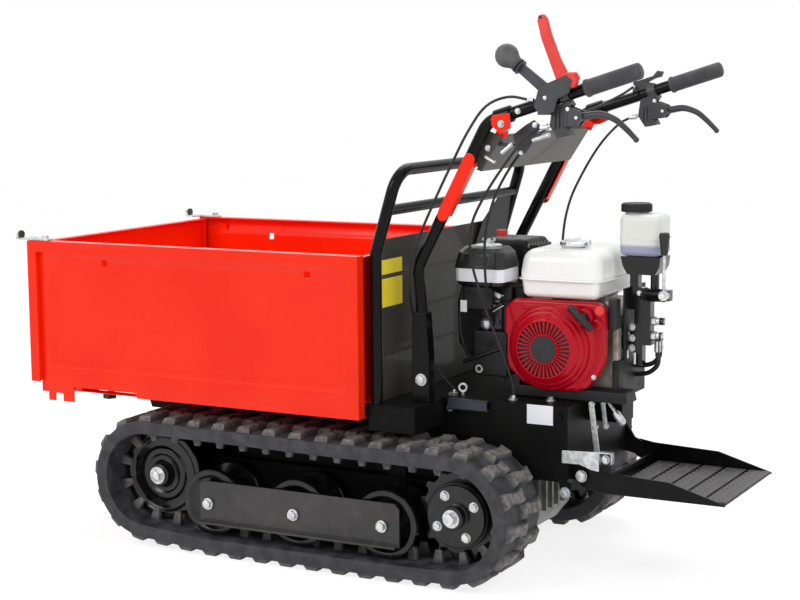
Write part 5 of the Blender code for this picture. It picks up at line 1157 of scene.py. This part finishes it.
bottle_plastic = finish("milky_bottle", bottle_wall)
bottle = Shape().take(swollen((0.585, 0.683), (-0.055, 0.025), (0.722, 0.817), 0.015, 0.0, 8))
bottle.take(swollen((0.5838, 0.6842), (-0.0562, 0.0262), (0.761, 0.7635), 0.0011, 0.0, 2))
bottle.turned([(0.0, 0.0), (0.0, 0.027), (0.011, 0.026), (0.015, 0.026), (0.015, 0.0)],
              (0.6135, -0.015, 0.805), UP, 40)
piece("oil_bottle", bottle, bottle_plastic, "oil_tank")
cap = Shape().turned([(0.0, 0.0), (0.0, 0.0335), (0.0165, 0.0335), (0.0195, 0.031), (0.02, 0.0)],
                     (0.6135, -0.015, 0.8203), UP, 64)
for i in range(40):
    turn = 2 * math.pi * i / 40
    spot = Vector((0.6135 + 0.0336 * math.cos(turn), -0.015 + 0.0336 * math.sin(turn), 0.8212))
    cap.bar(spot, spot + Vector((0, 0, 0.0158)), 0.0015, 6, 0.0)
piece("ribbed_oil_cap", cap, black_plastic, "oil_cap", body="oil_cap")
for name, route in (("upper", [(0.6003, 0.006, 0.466), (0.611, 0.006, 0.466), (0.638, 0.001, 0.47),
                               (0.658, -0.006, 0.48), (0.669, -0.01, 0.494), (0.67, -0.01, 0.498),
                               (0.67, -0.01, 0.5047)]),
                    ("lower", [(0.6003, 0.014, 0.444), (0.611, 0.014, 0.444), (0.64, 0.0, 0.452),
                               (0.664, -0.016, 0.47), (0.672, -0.024, 0.487), (0.67, -0.025, 0.497),
                               (0.67, -0.025, 0.5047)])):
    node = "hydraulic_hose_" + name
    piece("pressure_hose_" + name, Shape().tube(smooth(route, 0.004), 0.0055, fineness=8), hose_rubber, node)


# Step: two tapered black side plates and a floor of sheet, hinged behind the engine bed. Five strips
# of pierced grey tread with scalloped front edges are welded across it. Their holes are matt black
# discs on the tread: painted shade.

step_frame = Shape()
hinge_x, hinge_z = 0.552, 0.24
outline = [(hinge_x - 0.018, hinge_z + 0.002), (hinge_x - 0.012, hinge_z + 0.014),
           (hinge_x + 0.004, hinge_z + 0.018), (0.592, 0.252), (0.752, 0.245), (0.88, 0.2075), (0.88, 0.2035),
           (0.6, 0.2035), (0.555, 0.212), (hinge_x - 0.014, hinge_z - 0.016)]
for side in (-1, 1):
    step_frame.slab(outline, "y", side * 0.1712, side * 0.1762, 0.0012)
step_frame.block((0.59, 0.879), (-0.172, 0.172), (0.2042, 0.2082), 0.0008)
step_frame.block((0.588, 0.594), (-0.172, 0.172), (0.205, 0.23), 0.001)
piece("step_frame", step_frame, tube_black, "platform", body="platform")


def worn_tread(place):
    """Grey steel tread, scuffed by boots: bright streaks on dull grey."""
    scuff = place.cloud(70.0, 6.0).step(0.35, 0.7)
    return {"Base Color": scuff.mix((58, 56, 56), (84, 81, 80)), "Metallic": 0.3,
            "Roughness": 0.42 + 0.2 * scuff, "relief": (place.cloud(500.0, 4.0), 0.00012)}


tread_steel = finish("worn_tread", worn_tread)
treads, pits = Shape(), Shape()
width, teeth = 0.33, 14
for i in range(5):
    x0 = 0.606 + 0.0555 * i
    edge = []
    for j in range(teeth * 4 + 1):
        wave = 0.0032 * (1 - math.cos(j * math.pi / 2)) / 2
        edge.append((x0 + 0.0055 - wave * 1.7, -width / 2 + width * j / (teeth * 4)))
    edge += [(x0 + 0.05, width / 2), (x0 + 0.05, -width / 2)]
    treads.slab(edge, "z", 0.208, 0.2112, 0.0005, 1)
    for row, shift in ((0.013, 0.0), (0.033, 0.5)):
        for j in range(teeth):
            y = -width / 2 + width * (j + 0.25 + shift / 2) / teeth
            pits.bar((x0 + row, y, 0.2105), (x0 + row, y, 0.2114), 0.0021, 8, 0.0)
piece("step_treads", treads, tread_steel, body="platform")
# The matt black discs stand for the tread's holes: painted shade.
hole_shade_black = finish("painted_hole_shade", moulded((10, 10, 10), (5, 5, 5), 0.8))
piece("tread_holes_painted_shade", pits, hole_shade_black, body="platform")
fixings = Shape()
for side in (-1, 1):
    fixings.bolt((hinge_x, side * 0.1835, hinge_z), (0, side, 0), 0.021, 0.0075, 0.0135)
piece("step_bolts", fixings, zinc)


# Control cables: black Bowden cables held by the machine at both ends, from the levers down to the
# gearbox and engine, with plated ferrules at their ends.

cable_black = finish("cable_sheath", soft_rubber((30, 30, 32), (22, 22, 24)))
ROUTES = {
    "gear_cable": [(0.4855, -0.298, 1.076), (0.474, -0.298, 1.076), (0.425, -0.297, 1.082),
                   (0.372, -0.296, 1.062), (0.328, -0.294, 1.008), (0.284, -0.293, 0.93),
                   (0.24, -0.293, 0.845), (0.2, -0.29, 0.76), (0.17, -0.276, 0.67),
                   (0.16, -0.235, 0.58), (0.17, -0.2, 0.5), (0.205, -0.182, 0.44),
                   (0.232, -0.176, 0.412), (0.232, -0.176, 0.3963)],
    "clutch_cable_left": [(0.5137, -0.266, 1.02), (0.5, -0.266, 1.02), (0.455, -0.262, 0.998),
                          (0.405, -0.254, 0.945), (0.35, -0.248, 0.872), (0.308, -0.236, 0.8),
                          (0.295, -0.217, 0.73), (0.305, -0.202, 0.66), (0.33, -0.192, 0.58),
                          (0.362, -0.187, 0.5), (0.384, -0.184, 0.435), (0.386, -0.184, 0.41),
                          (0.386, -0.184, 0.3963)],
    "clutch_cable_right": [(0.5137, 0.266, 1.026), (0.5, 0.266, 1.026), (0.462, 0.262, 1.006),
                           (0.42, 0.248, 0.958), (0.385, 0.223, 0.89), (0.364, 0.19, 0.82),
                           (0.358, 0.165, 0.74), (0.364, 0.155, 0.64), (0.374, 0.155, 0.52),
                           (0.38, 0.158, 0.435), (0.38, 0.158, 0.41), (0.38, 0.158, 0.3963)],
    "throttle_cable": [(0.5045, 0.2552, 1.095), (0.5045, 0.244, 1.095), (0.492, 0.19, 1.076),
                       (0.468, 0.1, 1.05), (0.444, 0.0, 1.03), (0.424, -0.1, 1.004), (0.396, -0.18, 0.95),
                       (0.356, -0.212, 0.866), (0.328, -0.206, 0.78), (0.318, -0.19, 0.7),
                       (0.312, -0.165, 0.635), (0.314, -0.142, 0.605), (0.314, -0.1303, 0.605)],
}
ferrules = Shape()
for node, route in ROUTES.items():
    line = smooth(route, 0.012)
    piece(node + "_sheath", Shape().tube(line, 0.003, fineness=4), cable_black, node)
    for end, inner in ((line[0], line[1]), (line[-1], line[-2])):
        way = (inner - end).normalized()
        ferrules.bar(end + way * 0.001, end + way * 0.01, 0.0042, 20)
        ferrules.bar(end + way * 0.0095, end + way * 0.014, 0.0052, 6, 0.0004)
piece("cable_ferrules", ferrules, zinc)
